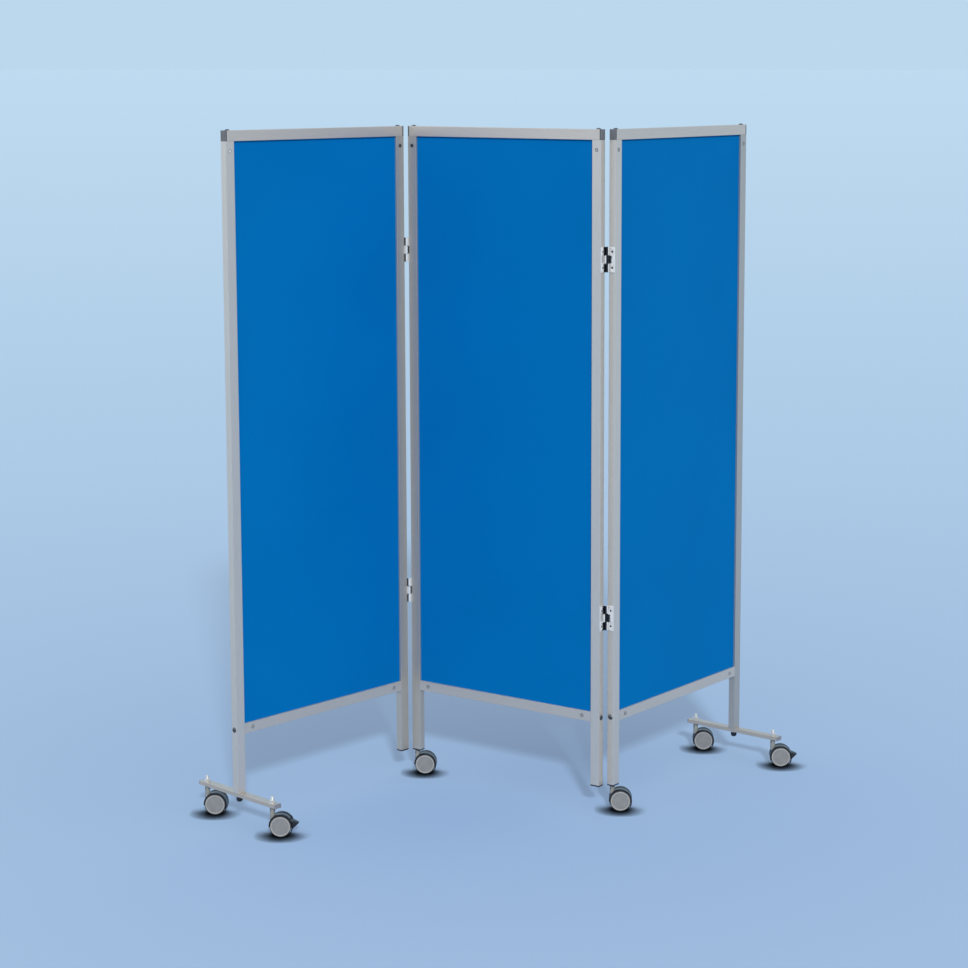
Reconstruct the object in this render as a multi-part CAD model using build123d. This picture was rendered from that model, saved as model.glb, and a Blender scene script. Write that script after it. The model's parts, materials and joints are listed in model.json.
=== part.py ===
from build123d import *
import math
import os

# A folding screen of three leaves on castors. Millimetres, +Z up, floor at z = 0, viewer at -Y.
# A leaf is made in its own frame: x across from its left post, y from its front face to its back.

# Whole screen
TOTAL_HEIGHT = 1650.0
LEAF_WIDTH = 565.0
LEFT_YAW = 49.0
MIDDLE_YAW = -32.0
RIGHT_YAW = 54.0
FOLDED_ANGLE = 25.0
FLAT_ANGLE = 180.0
OVERRUN = 2.0

# Frame extrusion, with a groove for the panel in its inner side
PROFILE_FACE = 25.0
PROFILE_DEPTH = 18.0
PROFILE_WALL = 1.6
PROFILE_EDGE = 0.8
GROOVE_DEPTH = 7.0
PANEL_THICKNESS = 7.0
GROOVE_PLAY = 0.1
PANEL_SIDE_PLAY = 0.5
BOTTOM_RAIL_RISE = 160.0

# Plugs and caps
PLUG_FLANGE = 2.0
PLUG_DEPTH = 30.0
PLUG_PLAY = 0.1
CAP_FLANGE = 2.0
RAIL_CAP_DEPTH = 6.0
FOOT_CAP_DEPTH = 12.0
CAP_EDGE = 0.6

# Frame bolts and the barrel nuts they screw into
BOLT_RADIUS = 2.5
BOLT_HOLE_PLAY = 0.2
HEAD_RADIUS = 5.4
HEAD_HEIGHT = 3.0
BARREL_RADIUS = 4.5
BARREL_LENGTH = 15.0
BARREL_PROUD = 0.4
BARREL_HOLE_PLAY = 0.1
BARREL_SLOT_WIDTH = 1.2
BARREL_SLOT_DEPTH = 0.8
TOP_BARREL_DROP = 23.0
RAIL_BARREL_INSET = 25.0
BOLT_TAIL = 5.0

# Hinges
HINGE_HALF_GAP = 3.8
HINGE_FACE_OFFSET = 3.4
HINGE_HEIGHT = 60.0
HINGE_THICKNESS = 2.0
HINGE_EDGE_MARGIN = 0.6
KNUCKLE_RADIUS = 3.6
KNUCKLE_END_PLAY = 0.3
KNUCKLE_PLAY = 0.4
PIN_RADIUS = 2.0
PIN_HEAD = 1.0
RUNNING_PLAY = 0.05
SCREW_RADIUS = 1.75
SCREW_HEAD_RADIUS = 3.5
SCREW_LENGTH = 12.0
SCREW_SPACING = 38.0
UPPER_HINGE_DROP = 306.0
LOWER_HINGE_RISE = 418.0

# Castors: twin wheels under a hood, trailing behind a fixed stem
WHEEL_RADIUS = 25.0
WHEEL_WIDTH = 12.4
WHEEL_GAP = 13.2
WHEEL_EDGE = 1.6
RIM_THICKNESS = 3.2
DISC_THICKNESS = 3.6
FACE_RECESS = 0.6
BORDER_WIDTH = 2.8
HUB_RADIUS = 7.0
HUB_END_PLAY = 0.3
AXLE_RADIUS = 2.5
AXLE_END_PLAY = 0.5
TRAIL = 20.0
HOOD_GAP = 1.0
HOOD_WALL = 2.2
HOOD_SIDE_STEP = 1.4
HOOD_FIRST_ANGLE = -35.0
HOOD_LAST_ANGLE = 187.0
WEB_SIDE_PLAY = 0.4
WEB_FLOOR_GAP = 8.0
COLLAR_RADIUS = 6.2
COLLAR_PLAY = 0.3
SEAT_RISE = 15.0
PIVOT_RADIUS = 4.0
PIVOT_DEPTH = 26.0
STUD_RADIUS = 4.0
STUD_HOLE_PLAY = 0.2
STUD_IN_POST = 22.0
STEM_SHOW = 14.8

# Brake pedals on the two front castors of the feet
PEDAL_WIDTH = 24.0
PEDAL_REACH = 42.0
PEDAL_TIP_RISE = 6.0
PEDAL_TIP_THICKNESS = 2.4
PEDAL_TOP_ANGLE = 28.0
PEDAL_LOW_ANGLE = -20.0
PEDAL_STROKE = 12.0
PEDAL_SHOE_GAP = 0.4
PEDAL_SIDE_PLAY = 0.4
PEDAL_ARM_WIDTH = 6.0
PEDAL_ARM_HEIGHT = 6.0
PEDAL_HUB_RADIUS = 3.6
PEDAL_PIN_RADIUS = 1.5
PEDAL_PIN_INSET = 2.6
PEDAL_PIN_RISE = 2.0
PEDAL_SLOT_PLAY = 0.6
WINDOW_MARGIN_ANGLE = 8.0

# Feet: a tube across the leaf's outer post with a castor under each end
FOOT_LENGTH = 280.0
FOOT_WIDTH = 20.0
FOOT_HEIGHT = 10.0
FOOT_WALL = 1.5
CASTOR_INSET = 20.0
POST_END_DROP = 8.0
FOOT_DOME_RADIUS = 7.5
FOOT_DOME_HEIGHT = 11.0
FOOT_BOLT_REACH = 24.0
NUT_ACROSS_FLATS = 13.0
NUT_HEIGHT = 6.5
STUD_END = 9.0

# Heights above the floor that follow from the sizes
AXLE_HEIGHT = WHEEL_RADIUS
SEAT_HEIGHT = AXLE_HEIGHT + SEAT_RISE
HOOD_INNER = WHEEL_RADIUS + HOOD_GAP
HOOD_OUTER = HOOD_INNER + HOOD_WALL
FOOT_BOTTOM = AXLE_HEIGHT + HOOD_OUTER + STEM_SHOW
FOOT_TOP = FOOT_BOTTOM + FOOT_HEIGHT
POST_END = FOOT_BOTTOM - POST_END_DROP
RAIL_TOP_Z = TOTAL_HEIGHT - PROFILE_FACE
BOTTOM_RAIL_Z = POST_END + BOTTOM_RAIL_RISE
SIDE_BOLT_Z = BOTTOM_RAIL_Z + PROFILE_FACE / 2
TOP_BARREL_Z = RAIL_TOP_Z - TOP_BARREL_DROP
HINGE_CENTRES = (TOTAL_HEIGHT - UPPER_HINGE_DROP, POST_END + LOWER_HINGE_RISE)

# Places across and through a leaf that follow from the sizes
MID_DEPTH = PROFILE_DEPTH / 2
POST_MID = PROFILE_FACE / 2
POST_MIDS = (POST_MID, LEAF_WIDTH - POST_MID)
CHAMBER_FACE = PROFILE_FACE - GROOVE_DEPTH - 2 * PROFILE_WALL
CHAMBER_DEPTH = PROFILE_DEPTH - 2 * PROFILE_WALL
CHAMBER_MID = PROFILE_WALL + CHAMBER_FACE / 2
GROOVE_WIDTH = PANEL_THICKNESS + 2 * GROOVE_PLAY
SIDE_BARREL_PLACES = (PROFILE_FACE + RAIL_BARREL_INSET, LEAF_WIDTH - PROFILE_FACE - RAIL_BARREL_INSET)
FOOT_STEM_REACH = FOOT_LENGTH / 2 - CASTOR_INSET
FOOT_STEM_PLACES = (-FOOT_STEM_REACH, FOOT_STEM_REACH)
SCREW_INSET = (PROFILE_DEPTH - HINGE_EDGE_MARGIN + KNUCKLE_RADIUS) / 2


STANDING = (Align.CENTER, Align.CENTER, Align.MIN)


def block(x0, x1, y0, y1, z0, z1):
    """A block between two corners."""
    return Pos(x0, y0, z0) * Box(x1 - x0, y1 - y0, z1 - z0, align=(Align.MIN,) * 3)


def upright_rod(x, y, z0, z1, radius):
    """A round rod along Z."""
    return Pos(x, y, z0) * Cylinder(radius, z1 - z0, align=STANDING)


def cross_rod(x0, x1, y, z, radius):
    """A round rod along X."""
    return Pos(x0, y, z) * Rot(0, 90, 0) * Cylinder(radius, x1 - x0, align=STANDING)


def deep_rod(x, y0, y1, z, radius):
    """A round rod along Y."""
    return Pos(x, y0, z) * Rot(-90, 0, 0) * Cylinder(radius, y1 - y0, align=STANDING)


def dome(radius, height):
    """A shallow dome on the XY plane, its crown at z = height."""
    ball = (radius**2 + height**2) / (2 * height)
    cap = Pos(0, 0, height - ball) * Sphere(ball)
    return cap & upright_rod(0, 0, 0, height + OVERRUN, radius)


def across_leaf(solid):
    """The same solid at the other side of a leaf, mirrored."""
    return mirror(solid, Plane((LEAF_WIDTH / 2, 0, 0), z_dir=(1, 0, 0)))


# Frame

def extrusion_section():
    """The frame's section, centred on y = 0: one chamber, and the panel's groove in the +X side."""
    outer = Pos(POST_MID, 0) * RectangleRounded(PROFILE_FACE, PROFILE_DEPTH, PROFILE_EDGE)
    chamber = Pos(CHAMBER_MID, 0) * Rectangle(CHAMBER_FACE, CHAMBER_DEPTH)
    groove_length = GROOVE_DEPTH + OVERRUN
    groove = Pos(PROFILE_FACE + OVERRUN - groove_length / 2, 0) * Rectangle(groove_length, GROOVE_WIDTH)
    return outer - chamber - groove


def top_bolt_hole(x, play):
    """The room of a top bolt, from above the rail to its barrel nut."""
    return upright_rod(x, MID_DEPTH, TOP_BARREL_Z - BARREL_RADIUS - BOLT_TAIL, TOTAL_HEIGHT + OVERRUN,
                       BOLT_RADIUS + play)


def side_bolt_rod(right, start, play):
    """The shank of a side bolt, from the post's outer side into the rail past its barrel nut."""
    reach = SIDE_BARREL_PLACES[0] + BARREL_RADIUS + BOLT_TAIL
    if right:
        return cross_rod(LEAF_WIDTH - reach, LEAF_WIDTH - start, MID_DEPTH, SIDE_BOLT_Z, BOLT_RADIUS + play)
    return cross_rod(start, reach, MID_DEPTH, SIDE_BOLT_Z, BOLT_RADIUS + play)


def barrel_rod(x, z, play):
    """The room of a barrel nut, which goes in from the front face."""
    return deep_rod(x, -OVERRUN if play else -BARREL_PROUD, BARREL_LENGTH + play, z, BARREL_RADIUS + play)


def hinge_screw_places(leaf, right):
    """The heights of the hinge screws on one post, or none if the post carries no hinge."""
    carries = {("left", True), ("middle", False), ("middle", True), ("right", False)}
    if (leaf, right) not in carries:
        return []
    return [centre + side * SCREW_SPACING / 2 for centre in HINGE_CENTRES for side in (-1, 1)]


def footed(leaf, right):
    """Whether this post stands on a foot bar: the two outermost posts do."""
    return (leaf, right) in {("left", False), ("right", True)}


def closed_groove(z0):
    """The metal that closes a left-hand post's groove below the bottom rail."""
    front = MID_DEPTH - GROOVE_WIDTH / 2
    return block(PROFILE_FACE - GROOVE_DEPTH, PROFILE_FACE, front, front + GROOVE_WIDTH, z0, BOTTOM_RAIL_Z)


def post(leaf, right):
    """One upright of a leaf, open at the top under the rail and holed for its bolts and screws."""
    z0 = FOOT_TOP if footed(leaf, right) else POST_END + PLUG_FLANGE
    solid = Pos(0, MID_DEPTH, z0) * extrude(extrusion_section(), RAIL_TOP_Z - z0)
    solid += closed_groove(z0)
    if right:
        solid = Pos(LEAF_WIDTH, PROFILE_DEPTH, 0) * Rot(0, 0, 180) * solid
    x = POST_MIDS[right]
    solid -= top_bolt_hole(x, BOLT_HOLE_PLAY)
    solid -= barrel_rod(x, TOP_BARREL_Z, BARREL_HOLE_PLAY)
    solid -= side_bolt_rod(right, -OVERRUN, BOLT_HOLE_PLAY)
    for z in hinge_screw_places(leaf, right):
        inside = LEAF_WIDTH - SCREW_LENGTH if right else -OVERRUN
        outside = LEAF_WIDTH + OVERRUN if right else SCREW_LENGTH
        solid -= cross_rod(inside, outside, screw_depth(leaf, right), z, SCREW_RADIUS)
    return solid


def top_rail():
    """The rail over both posts, its groove down; plastic caps close its ends."""
    start = Plane((CAP_FLANGE, MID_DEPTH, TOTAL_HEIGHT), x_dir=(0, 0, -1), z_dir=(1, 0, 0))
    solid = extrude(start * extrusion_section(), LEAF_WIDTH - 2 * CAP_FLANGE)
    for x in POST_MIDS:
        solid -= top_bolt_hole(x, BOLT_HOLE_PLAY)
    return solid


def bottom_rail():
    """The rail between the posts, its groove up."""
    start = Plane((PROFILE_FACE, MID_DEPTH, BOTTOM_RAIL_Z), x_dir=(0, 0, 1), z_dir=(1, 0, 0))
    solid = extrude(start * extrusion_section(), LEAF_WIDTH - 2 * PROFILE_FACE)
    for right in (False, True):
        solid -= side_bolt_rod(right, 0, BOLT_HOLE_PLAY)
        solid -= barrel_rod(SIDE_BARREL_PLACES[right], SIDE_BOLT_Z, BARREL_HOLE_PLAY)
    return solid


def panel():
    """The flat infill, standing on the floor of the bottom rail's groove."""
    inset = PROFILE_FACE - GROOVE_DEPTH + PANEL_SIDE_PLAY
    front = MID_DEPTH - PANEL_THICKNESS / 2
    return block(inset, LEAF_WIDTH - inset, front, front + PANEL_THICKNESS,
                 BOTTOM_RAIL_Z + PROFILE_FACE - GROOVE_DEPTH, RAIL_TOP_Z + GROOVE_DEPTH - PANEL_SIDE_PLAY)


def chamber_plug(depth):
    """A plug's square body, which fills the extrusion's chamber; it runs up from z = 0."""
    face = CHAMBER_FACE - 2 * PLUG_PLAY
    through = CHAMBER_DEPTH - 2 * PLUG_PLAY
    return Box(face, through, depth, align=STANDING)


def cap_flange(thickness):
    """A cap's outer plate with softened outer edges, on z = 0 and below it."""
    plate = Pos(0, 0, -thickness) * Box(PROFILE_FACE, PROFILE_DEPTH, thickness, align=STANDING)
    plate = fillet(plate.edges().filter_by(Axis.Z), PROFILE_EDGE)
    return fillet(plate.faces().sort_by(Axis.Z)[0].edges(), CAP_EDGE)


def rail_cap(right):
    """The cap on one end of a top rail, its body pushed into the rail's chamber."""
    body = Pos(CHAMBER_MID - POST_MID, 0, 0) * chamber_plug(RAIL_CAP_DEPTH)
    cap = Pos(CAP_FLANGE, MID_DEPTH, RAIL_TOP_Z + POST_MID) * Rot(0, 90, 0) * (cap_flange(CAP_FLANGE) + body)
    return across_leaf(cap) if right else cap


def post_plug(leaf, right, castor):
    """The plug in a post's lower end. It holds a castor's stud or the foot's bolt, or closes the post."""
    x = CHAMBER_MID if not right else LEAF_WIDTH - CHAMBER_MID
    if footed(leaf, right):
        body = Pos(x, MID_DEPTH, FOOT_TOP) * chamber_plug(PLUG_DEPTH)
        return body - upright_rod(POST_MIDS[right], MID_DEPTH, FOOT_TOP, FOOT_TOP + PLUG_DEPTH, BOLT_RADIUS)
    flange = Pos(POST_MIDS[right], MID_DEPTH, POST_END + PLUG_FLANGE) * cap_flange(PLUG_FLANGE)
    body = flange + Pos(x, MID_DEPTH, POST_END + PLUG_FLANGE) * chamber_plug(PLUG_DEPTH)
    if castor:
        body -= upright_rod(x, MID_DEPTH, POST_END, POST_END + STUD_IN_POST, STUD_RADIUS)
    return body


def end_caps(leaf):
    """All plastic caps and plugs of one leaf."""
    plugs = [post_plug(leaf, right, castor_post(leaf, right)) for right in (False, True)]
    return [rail_cap(False), rail_cap(True)] + plugs


def castor_post(leaf, right):
    """Whether this post has a castor of its own in its lower end."""
    return (leaf, right) in {("middle", False), ("right", False)}


def frame_bolts(leaf):
    """The bolts of one leaf, heads outside: two down through the top rail, two in through the posts."""
    bolts = []
    for x in POST_MIDS:
        tail = TOP_BARREL_Z - BARREL_RADIUS - BOLT_TAIL
        shank = upright_rod(x, MID_DEPTH, tail, TOTAL_HEIGHT, BOLT_RADIUS)
        bolts.append(shank + Pos(x, MID_DEPTH, TOTAL_HEIGHT) * dome(HEAD_RADIUS, HEAD_HEIGHT))
    for right in (False, True):
        head = Pos(LEAF_WIDTH if right else 0, MID_DEPTH, SIDE_BOLT_Z) * Rot(0, 90 if right else -90, 0)
        bolts.append(side_bolt_rod(right, 0, 0) + head * dome(HEAD_RADIUS, HEAD_HEIGHT))
    for right in (False, True):
        if footed(leaf, right):
            x = POST_MIDS[right]
            shank = upright_rod(x, MID_DEPTH, FOOT_BOTTOM, FOOT_TOP + FOOT_BOLT_REACH, BOLT_RADIUS)
            head = Pos(x, MID_DEPTH, FOOT_BOTTOM) * Rot(180, 0, 0)
            bolts.append(shank + head * dome(FOOT_DOME_RADIUS, FOOT_DOME_HEIGHT))
    return bolts


def barrel_nuts():
    """The barrel nuts of one leaf, with slotted heads in the front faces."""
    nuts = []
    slot_length = 2 * BARREL_RADIUS - 2 * BARREL_PROUD
    places = [(x, TOP_BARREL_Z) for x in POST_MIDS] + [(x, SIDE_BOLT_Z) for x in SIDE_BARREL_PLACES]
    for x, z in places:
        slot = block(x - slot_length / 2, x + slot_length / 2, -BARREL_PROUD - OVERRUN,
                     BARREL_SLOT_DEPTH - BARREL_PROUD, z - BARREL_SLOT_WIDTH / 2, z + BARREL_SLOT_WIDTH / 2)
        nuts.append(barrel_rod(x, z, 0) - slot)
    for index, x in enumerate(POST_MIDS):
        nuts[index] -= top_bolt_hole(x, 0)
        nuts[index + 2] -= side_bolt_rod(bool(index), 0, 0)
    return nuts


# Hinges

def screw_depth(leaf, right):
    """How far from the leaf's front face a hinge's screws lie, clear of its knuckles."""
    return SCREW_INSET if pin_in_front(leaf, right) else PROFILE_DEPTH - SCREW_INSET


def pin_in_front(leaf, right):
    """The left and middle leaves are hinged at their front faces, the middle and right at their backs."""
    return (leaf, right) in {("left", True), ("middle", False)}


def knuckle_spans(centre, outer):
    """The heights of a plate's knuckles: the two outer thirds, or the middle third."""
    long = HINGE_HEIGHT / 2
    short = HINGE_HEIGHT / 6
    play = KNUCKLE_END_PLAY / 2
    if outer:
        return [(centre - long, centre - short - play), (centre + short + play, centre + long)]
    return [(centre - short + play, centre + short - play)]


def hinge_plate(leaf, right, centre, outer, bore):
    """One hinge plate on a post's side face, drawn for a left side with the pin in front, then turned."""
    x = -HINGE_HALF_GAP
    y = -HINGE_FACE_OFFSET
    z0 = centre - HINGE_HEIGHT / 2
    z1 = centre + HINGE_HEIGHT / 2
    solid = block(-HINGE_THICKNESS, 0, y, PROFILE_DEPTH - HINGE_EDGE_MARGIN, z0, z1)
    for a, b in knuckle_spans(centre, outer):
        solid += upright_rod(x, y, a, b, KNUCKLE_RADIUS)
    for a, b in knuckle_spans(centre, not outer):
        solid -= upright_rod(x, y, a - KNUCKLE_END_PLAY, b + KNUCKLE_END_PLAY, KNUCKLE_RADIUS + KNUCKLE_PLAY)
    solid -= upright_rod(x, y, z0 - OVERRUN, z1 + OVERRUN, bore)
    for side in (-1, 1):
        solid -= screw(centre + side * SCREW_SPACING / 2, SCREW_INSET)
    if not pin_in_front(leaf, right):
        solid = mirror(solid, Plane((0, MID_DEPTH, 0), z_dir=(0, 1, 0)))
    if right:
        solid = across_leaf(solid)
    return solid


def screw(z, y):
    """A countersunk screw in a left side face, its head flush with the hinge plate's outer face."""
    slope = Cone(SCREW_HEAD_RADIUS, SCREW_RADIUS, HINGE_THICKNESS, align=STANDING)
    head = Pos(-HINGE_THICKNESS, y, z) * Rot(0, 90, 0) * slope
    return head + cross_rod(-HINGE_THICKNESS / 2, SCREW_LENGTH, y, z, SCREW_RADIUS)


def hinge_screws(leaf):
    """The screws of every hinge plate on one leaf, each with a slot across its head."""
    screws = []
    slot = block(-HINGE_THICKNESS - OVERRUN, BARREL_SLOT_DEPTH - HINGE_THICKNESS, -BARREL_SLOT_WIDTH / 2,
                 BARREL_SLOT_WIDTH / 2, -SCREW_HEAD_RADIUS, SCREW_HEAD_RADIUS)
    for right in (False, True):
        for z in hinge_screw_places(leaf, right):
            y = screw_depth(leaf, right)
            solid = screw(z, y) - Pos(0, y, z) * slot
            screws.append(across_leaf(solid) if right else solid)
    return screws


def hinge_plates(leaf):
    """The plates on one leaf. The pins are held by the middle leaf, so its bores are the tight ones."""
    tight = PIN_RADIUS
    loose = PIN_RADIUS + RUNNING_PLAY
    plates = []
    for centre in HINGE_CENTRES:
        if leaf == "left":
            plates.append(hinge_plate(leaf, True, centre, False, loose))
        elif leaf == "middle":
            plates.append(hinge_plate(leaf, False, centre, True, tight))
            plates.append(hinge_plate(leaf, True, centre, False, tight))
        else:
            plates.append(hinge_plate(leaf, False, centre, True, loose))
    return plates


def hinge_pins():
    """The four pins, in the middle leaf's frame, with low heads past both ends of the knuckles."""
    pins = []
    half = HINGE_HEIGHT / 2 + KNUCKLE_END_PLAY
    head = dome(KNUCKLE_RADIUS - KNUCKLE_PLAY, PIN_HEAD)
    pin = upright_rod(0, 0, -half, half, PIN_RADIUS)
    pin += Pos(0, 0, half) * head
    pin += Pos(0, 0, -half) * Rot(180, 0, 0) * head
    for x, y in (LEFT_PIN_IN_MIDDLE, RIGHT_PIN_IN_MIDDLE):
        for centre in HINGE_CENTRES:
            pins.append(Pos(x, y, centre) * pin)
    return pins


# Feet

def foot_bar(right):
    """The hollow bar under an outermost post, square to its leaf."""
    x = POST_MIDS[right]
    half = FOOT_LENGTH / 2 - CAP_FLANGE
    section = RectangleRounded(FOOT_WIDTH, FOOT_HEIGHT, PROFILE_EDGE)
    section -= Rectangle(FOOT_WIDTH - 2 * FOOT_WALL, FOOT_HEIGHT - 2 * FOOT_WALL)
    start = Plane((x, MID_DEPTH - half, FOOT_BOTTOM + FOOT_HEIGHT / 2), x_dir=(1, 0, 0), z_dir=(0, 1, 0))
    bar = extrude(start * section, 2 * half)
    through = (FOOT_BOTTOM - OVERRUN, FOOT_TOP + OVERRUN)
    for y in FOOT_STEM_PLACES:
        bar -= upright_rod(x, MID_DEPTH + y, *through, STUD_RADIUS + STUD_HOLE_PLAY)
    return bar - upright_rod(x, MID_DEPTH, *through, BOLT_RADIUS + BOLT_HOLE_PLAY)


def foot_caps(right):
    """The two end caps of a foot bar."""
    x = POST_MIDS[right]
    z = FOOT_BOTTOM + FOOT_HEIGHT / 2
    half = FOOT_LENGTH / 2
    plate = Box(FOOT_WIDTH, CAP_FLANGE, FOOT_HEIGHT, align=(Align.CENTER, Align.MAX, Align.CENTER))
    plate = fillet(plate.edges().filter_by(Axis.Y), PROFILE_EDGE)
    plate = fillet(plate.faces().sort_by(Axis.Y)[0].edges(), CAP_EDGE)
    inner_face = FOOT_WIDTH - 2 * FOOT_WALL - 2 * PLUG_PLAY
    inner_height = FOOT_HEIGHT - 2 * FOOT_WALL - 2 * PLUG_PLAY
    cap = plate + Box(inner_face, FOOT_CAP_DEPTH, inner_height, align=(Align.CENTER, Align.MIN, Align.CENTER))
    front = Pos(x, MID_DEPTH - half + CAP_FLANGE, z) * cap
    back = Pos(x, MID_DEPTH + half - CAP_FLANGE, z) * Rot(0, 0, 180) * cap
    return [front, back]


def foot_nuts(right):
    """The nuts on the castors' studs, on top of a foot bar."""
    nuts = []
    for y in FOOT_STEM_PLACES:
        nut = extrude(RegularPolygon(NUT_ACROSS_FLATS / 2, 6, major_radius=False), NUT_HEIGHT)
        nut -= Cylinder(STUD_RADIUS, 2 * NUT_HEIGHT + OVERRUN)
        nuts.append(Pos(POST_MIDS[right], MID_DEPTH + y, FOOT_TOP) * nut)
    return nuts


# Castors, each in a frame with its stem's axis at x = y = 0 and its wheels trailing towards +X

def castor_stem(top, collar_top):
    """A stem: pivot in the housing, collar under the frame, threaded stud above."""
    pivot = upright_rod(0, 0, SEAT_HEIGHT - PIVOT_DEPTH, SEAT_HEIGHT, PIVOT_RADIUS)
    collar = upright_rod(0, 0, SEAT_HEIGHT, collar_top, COLLAR_RADIUS)
    return pivot + collar + upright_rod(0, 0, collar_top, top, STUD_RADIUS)


def hood_sector(inner, outer, first, last, half_width):
    """Part of a ring about the axle, between two angles from the trailing side."""
    ring = deep_rod(TRAIL, -half_width, half_width, AXLE_HEIGHT, outer)
    ring -= deep_rod(TRAIL, -half_width - OVERRUN, half_width + OVERRUN, AXLE_HEIGHT, inner)
    far = 4 * outer
    steps = math.ceil((last - first) / 45)
    turns = [math.radians(first + (last - first) * k / steps) for k in range(steps + 1)]
    outline = [(0, 0)] + [(far * math.cos(t), far * math.sin(t)) for t in turns]
    upright = Plane((TRAIL, half_width + OVERRUN, AXLE_HEIGHT), x_dir=(1, 0, 0), z_dir=(0, -1, 0))
    slice_face = upright * make_face(Polyline(*outline, close=True))
    return ring & extrude(slice_face, 2 * half_width + 2 * OVERRUN)


def castor_housing(brake):
    """A castor's housing: the web between the wheels and the hood over them, with the axle through it."""
    half_web = WHEEL_GAP / 2 - WEB_SIDE_PLAY
    half_hood = WHEEL_GAP / 2 + WHEEL_WIDTH - HOOD_SIDE_STEP
    web = deep_rod(TRAIL, -half_web, half_web, AXLE_HEIGHT, HOOD_INNER + HOOD_WALL / 2)
    web += upright_rod(0, 0, SEAT_HEIGHT - PIVOT_DEPTH - HOOD_WALL, SEAT_HEIGHT - COLLAR_PLAY, half_web)
    solid = web + hood_sector(HOOD_INNER, HOOD_OUTER, HOOD_FIRST_ANGLE, HOOD_LAST_ANGLE, half_hood)
    reach = TRAIL + 2 * HOOD_OUTER
    solid -= block(-reach, reach, -reach, reach, -reach, WEB_FLOOR_GAP)
    solid -= upright_rod(0, 0, SEAT_HEIGHT - COLLAR_PLAY, AXLE_HEIGHT + HOOD_OUTER + OVERRUN,
                         COLLAR_RADIUS + COLLAR_PLAY)
    bore_end = SEAT_HEIGHT - PIVOT_DEPTH - COLLAR_PLAY
    solid -= upright_rod(0, 0, bore_end, SEAT_HEIGHT, PIVOT_RADIUS + RUNNING_PLAY)
    solid -= deep_rod(TRAIL, -half_web, half_web, AXLE_HEIGHT, AXLE_RADIUS)
    axle_end = WHEEL_GAP / 2 + WHEEL_WIDTH - DISC_THICKNESS - AXLE_END_PLAY
    axle = deep_rod(TRAIL, -axle_end, axle_end, AXLE_HEIGHT, AXLE_RADIUS)
    if not brake:
        return [solid, axle]
    first = HOOD_FIRST_ANGLE - WINDOW_MARGIN_ANGLE
    last = PEDAL_TOP_ANGLE + WINDOW_MARGIN_ANGLE
    solid -= hood_sector(WHEEL_RADIUS - PEDAL_SHOE_GAP, HOOD_OUTER + OVERRUN, first, last,
                         PEDAL_WIDTH / 2 + PEDAL_SIDE_PLAY)
    px, pz = pedal_pin_place()
    half_slot = PEDAL_ARM_WIDTH / 2 + PEDAL_SIDE_PLAY
    half_height = PEDAL_HUB_RADIUS + 2 * PEDAL_SLOT_PLAY
    solid -= block(px - PEDAL_HUB_RADIUS - PEDAL_SLOT_PLAY, px + HOOD_OUTER, -half_slot, half_slot,
                   pz - half_height, pz + half_height)
    solid -= deep_rod(px, -half_web, half_web, pz, PEDAL_PIN_RADIUS)
    return [solid, axle, deep_rod(px, -half_web, half_web, pz, PEDAL_PIN_RADIUS)]


def wheel(far):
    """One wheel of a pair: tread, outer disc with a raised border, and hub, turned about the axle."""
    inner = WHEEL_GAP / 2
    outer = inner + WHEEL_WIDTH
    face = outer - FACE_RECESS
    disc_back = outer - DISC_THICKNESS
    border_in = WHEEL_RADIUS - WHEEL_EDGE - BORDER_WIDTH
    hub_start = inner + HUB_END_PLAY
    bore = AXLE_RADIUS + RUNNING_PLAY
    rim_in = WHEEL_RADIUS - RIM_THICKNESS
    outline = [(0, face), (border_in, face), (border_in + FACE_RECESS, outer), (WHEEL_RADIUS, outer),
               (WHEEL_RADIUS, inner), (rim_in, inner), (rim_in, disc_back), (HUB_RADIUS, disc_back),
               (HUB_RADIUS, hub_start), (bore, hub_start), (bore, disc_back), (0, disc_back)]
    solid = revolve(make_face(Polyline(*outline, close=True)), Axis.Y)
    circles = solid.edges().filter_by(GeomType.CIRCLE)
    solid = fillet([edge for edge in circles if edge.radius > border_in + BORDER_WIDTH], WHEEL_EDGE)
    if not far:
        solid = Rot(0, 0, 180) * solid
    return Pos(TRAIL, 0, AXLE_HEIGHT) * solid


def pedal_pin_place():
    """Where the brake pedal's pin lies, x and z."""
    return TRAIL + WHEEL_RADIUS - PEDAL_PIN_INSET, AXLE_HEIGHT + PEDAL_PIN_RISE


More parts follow.
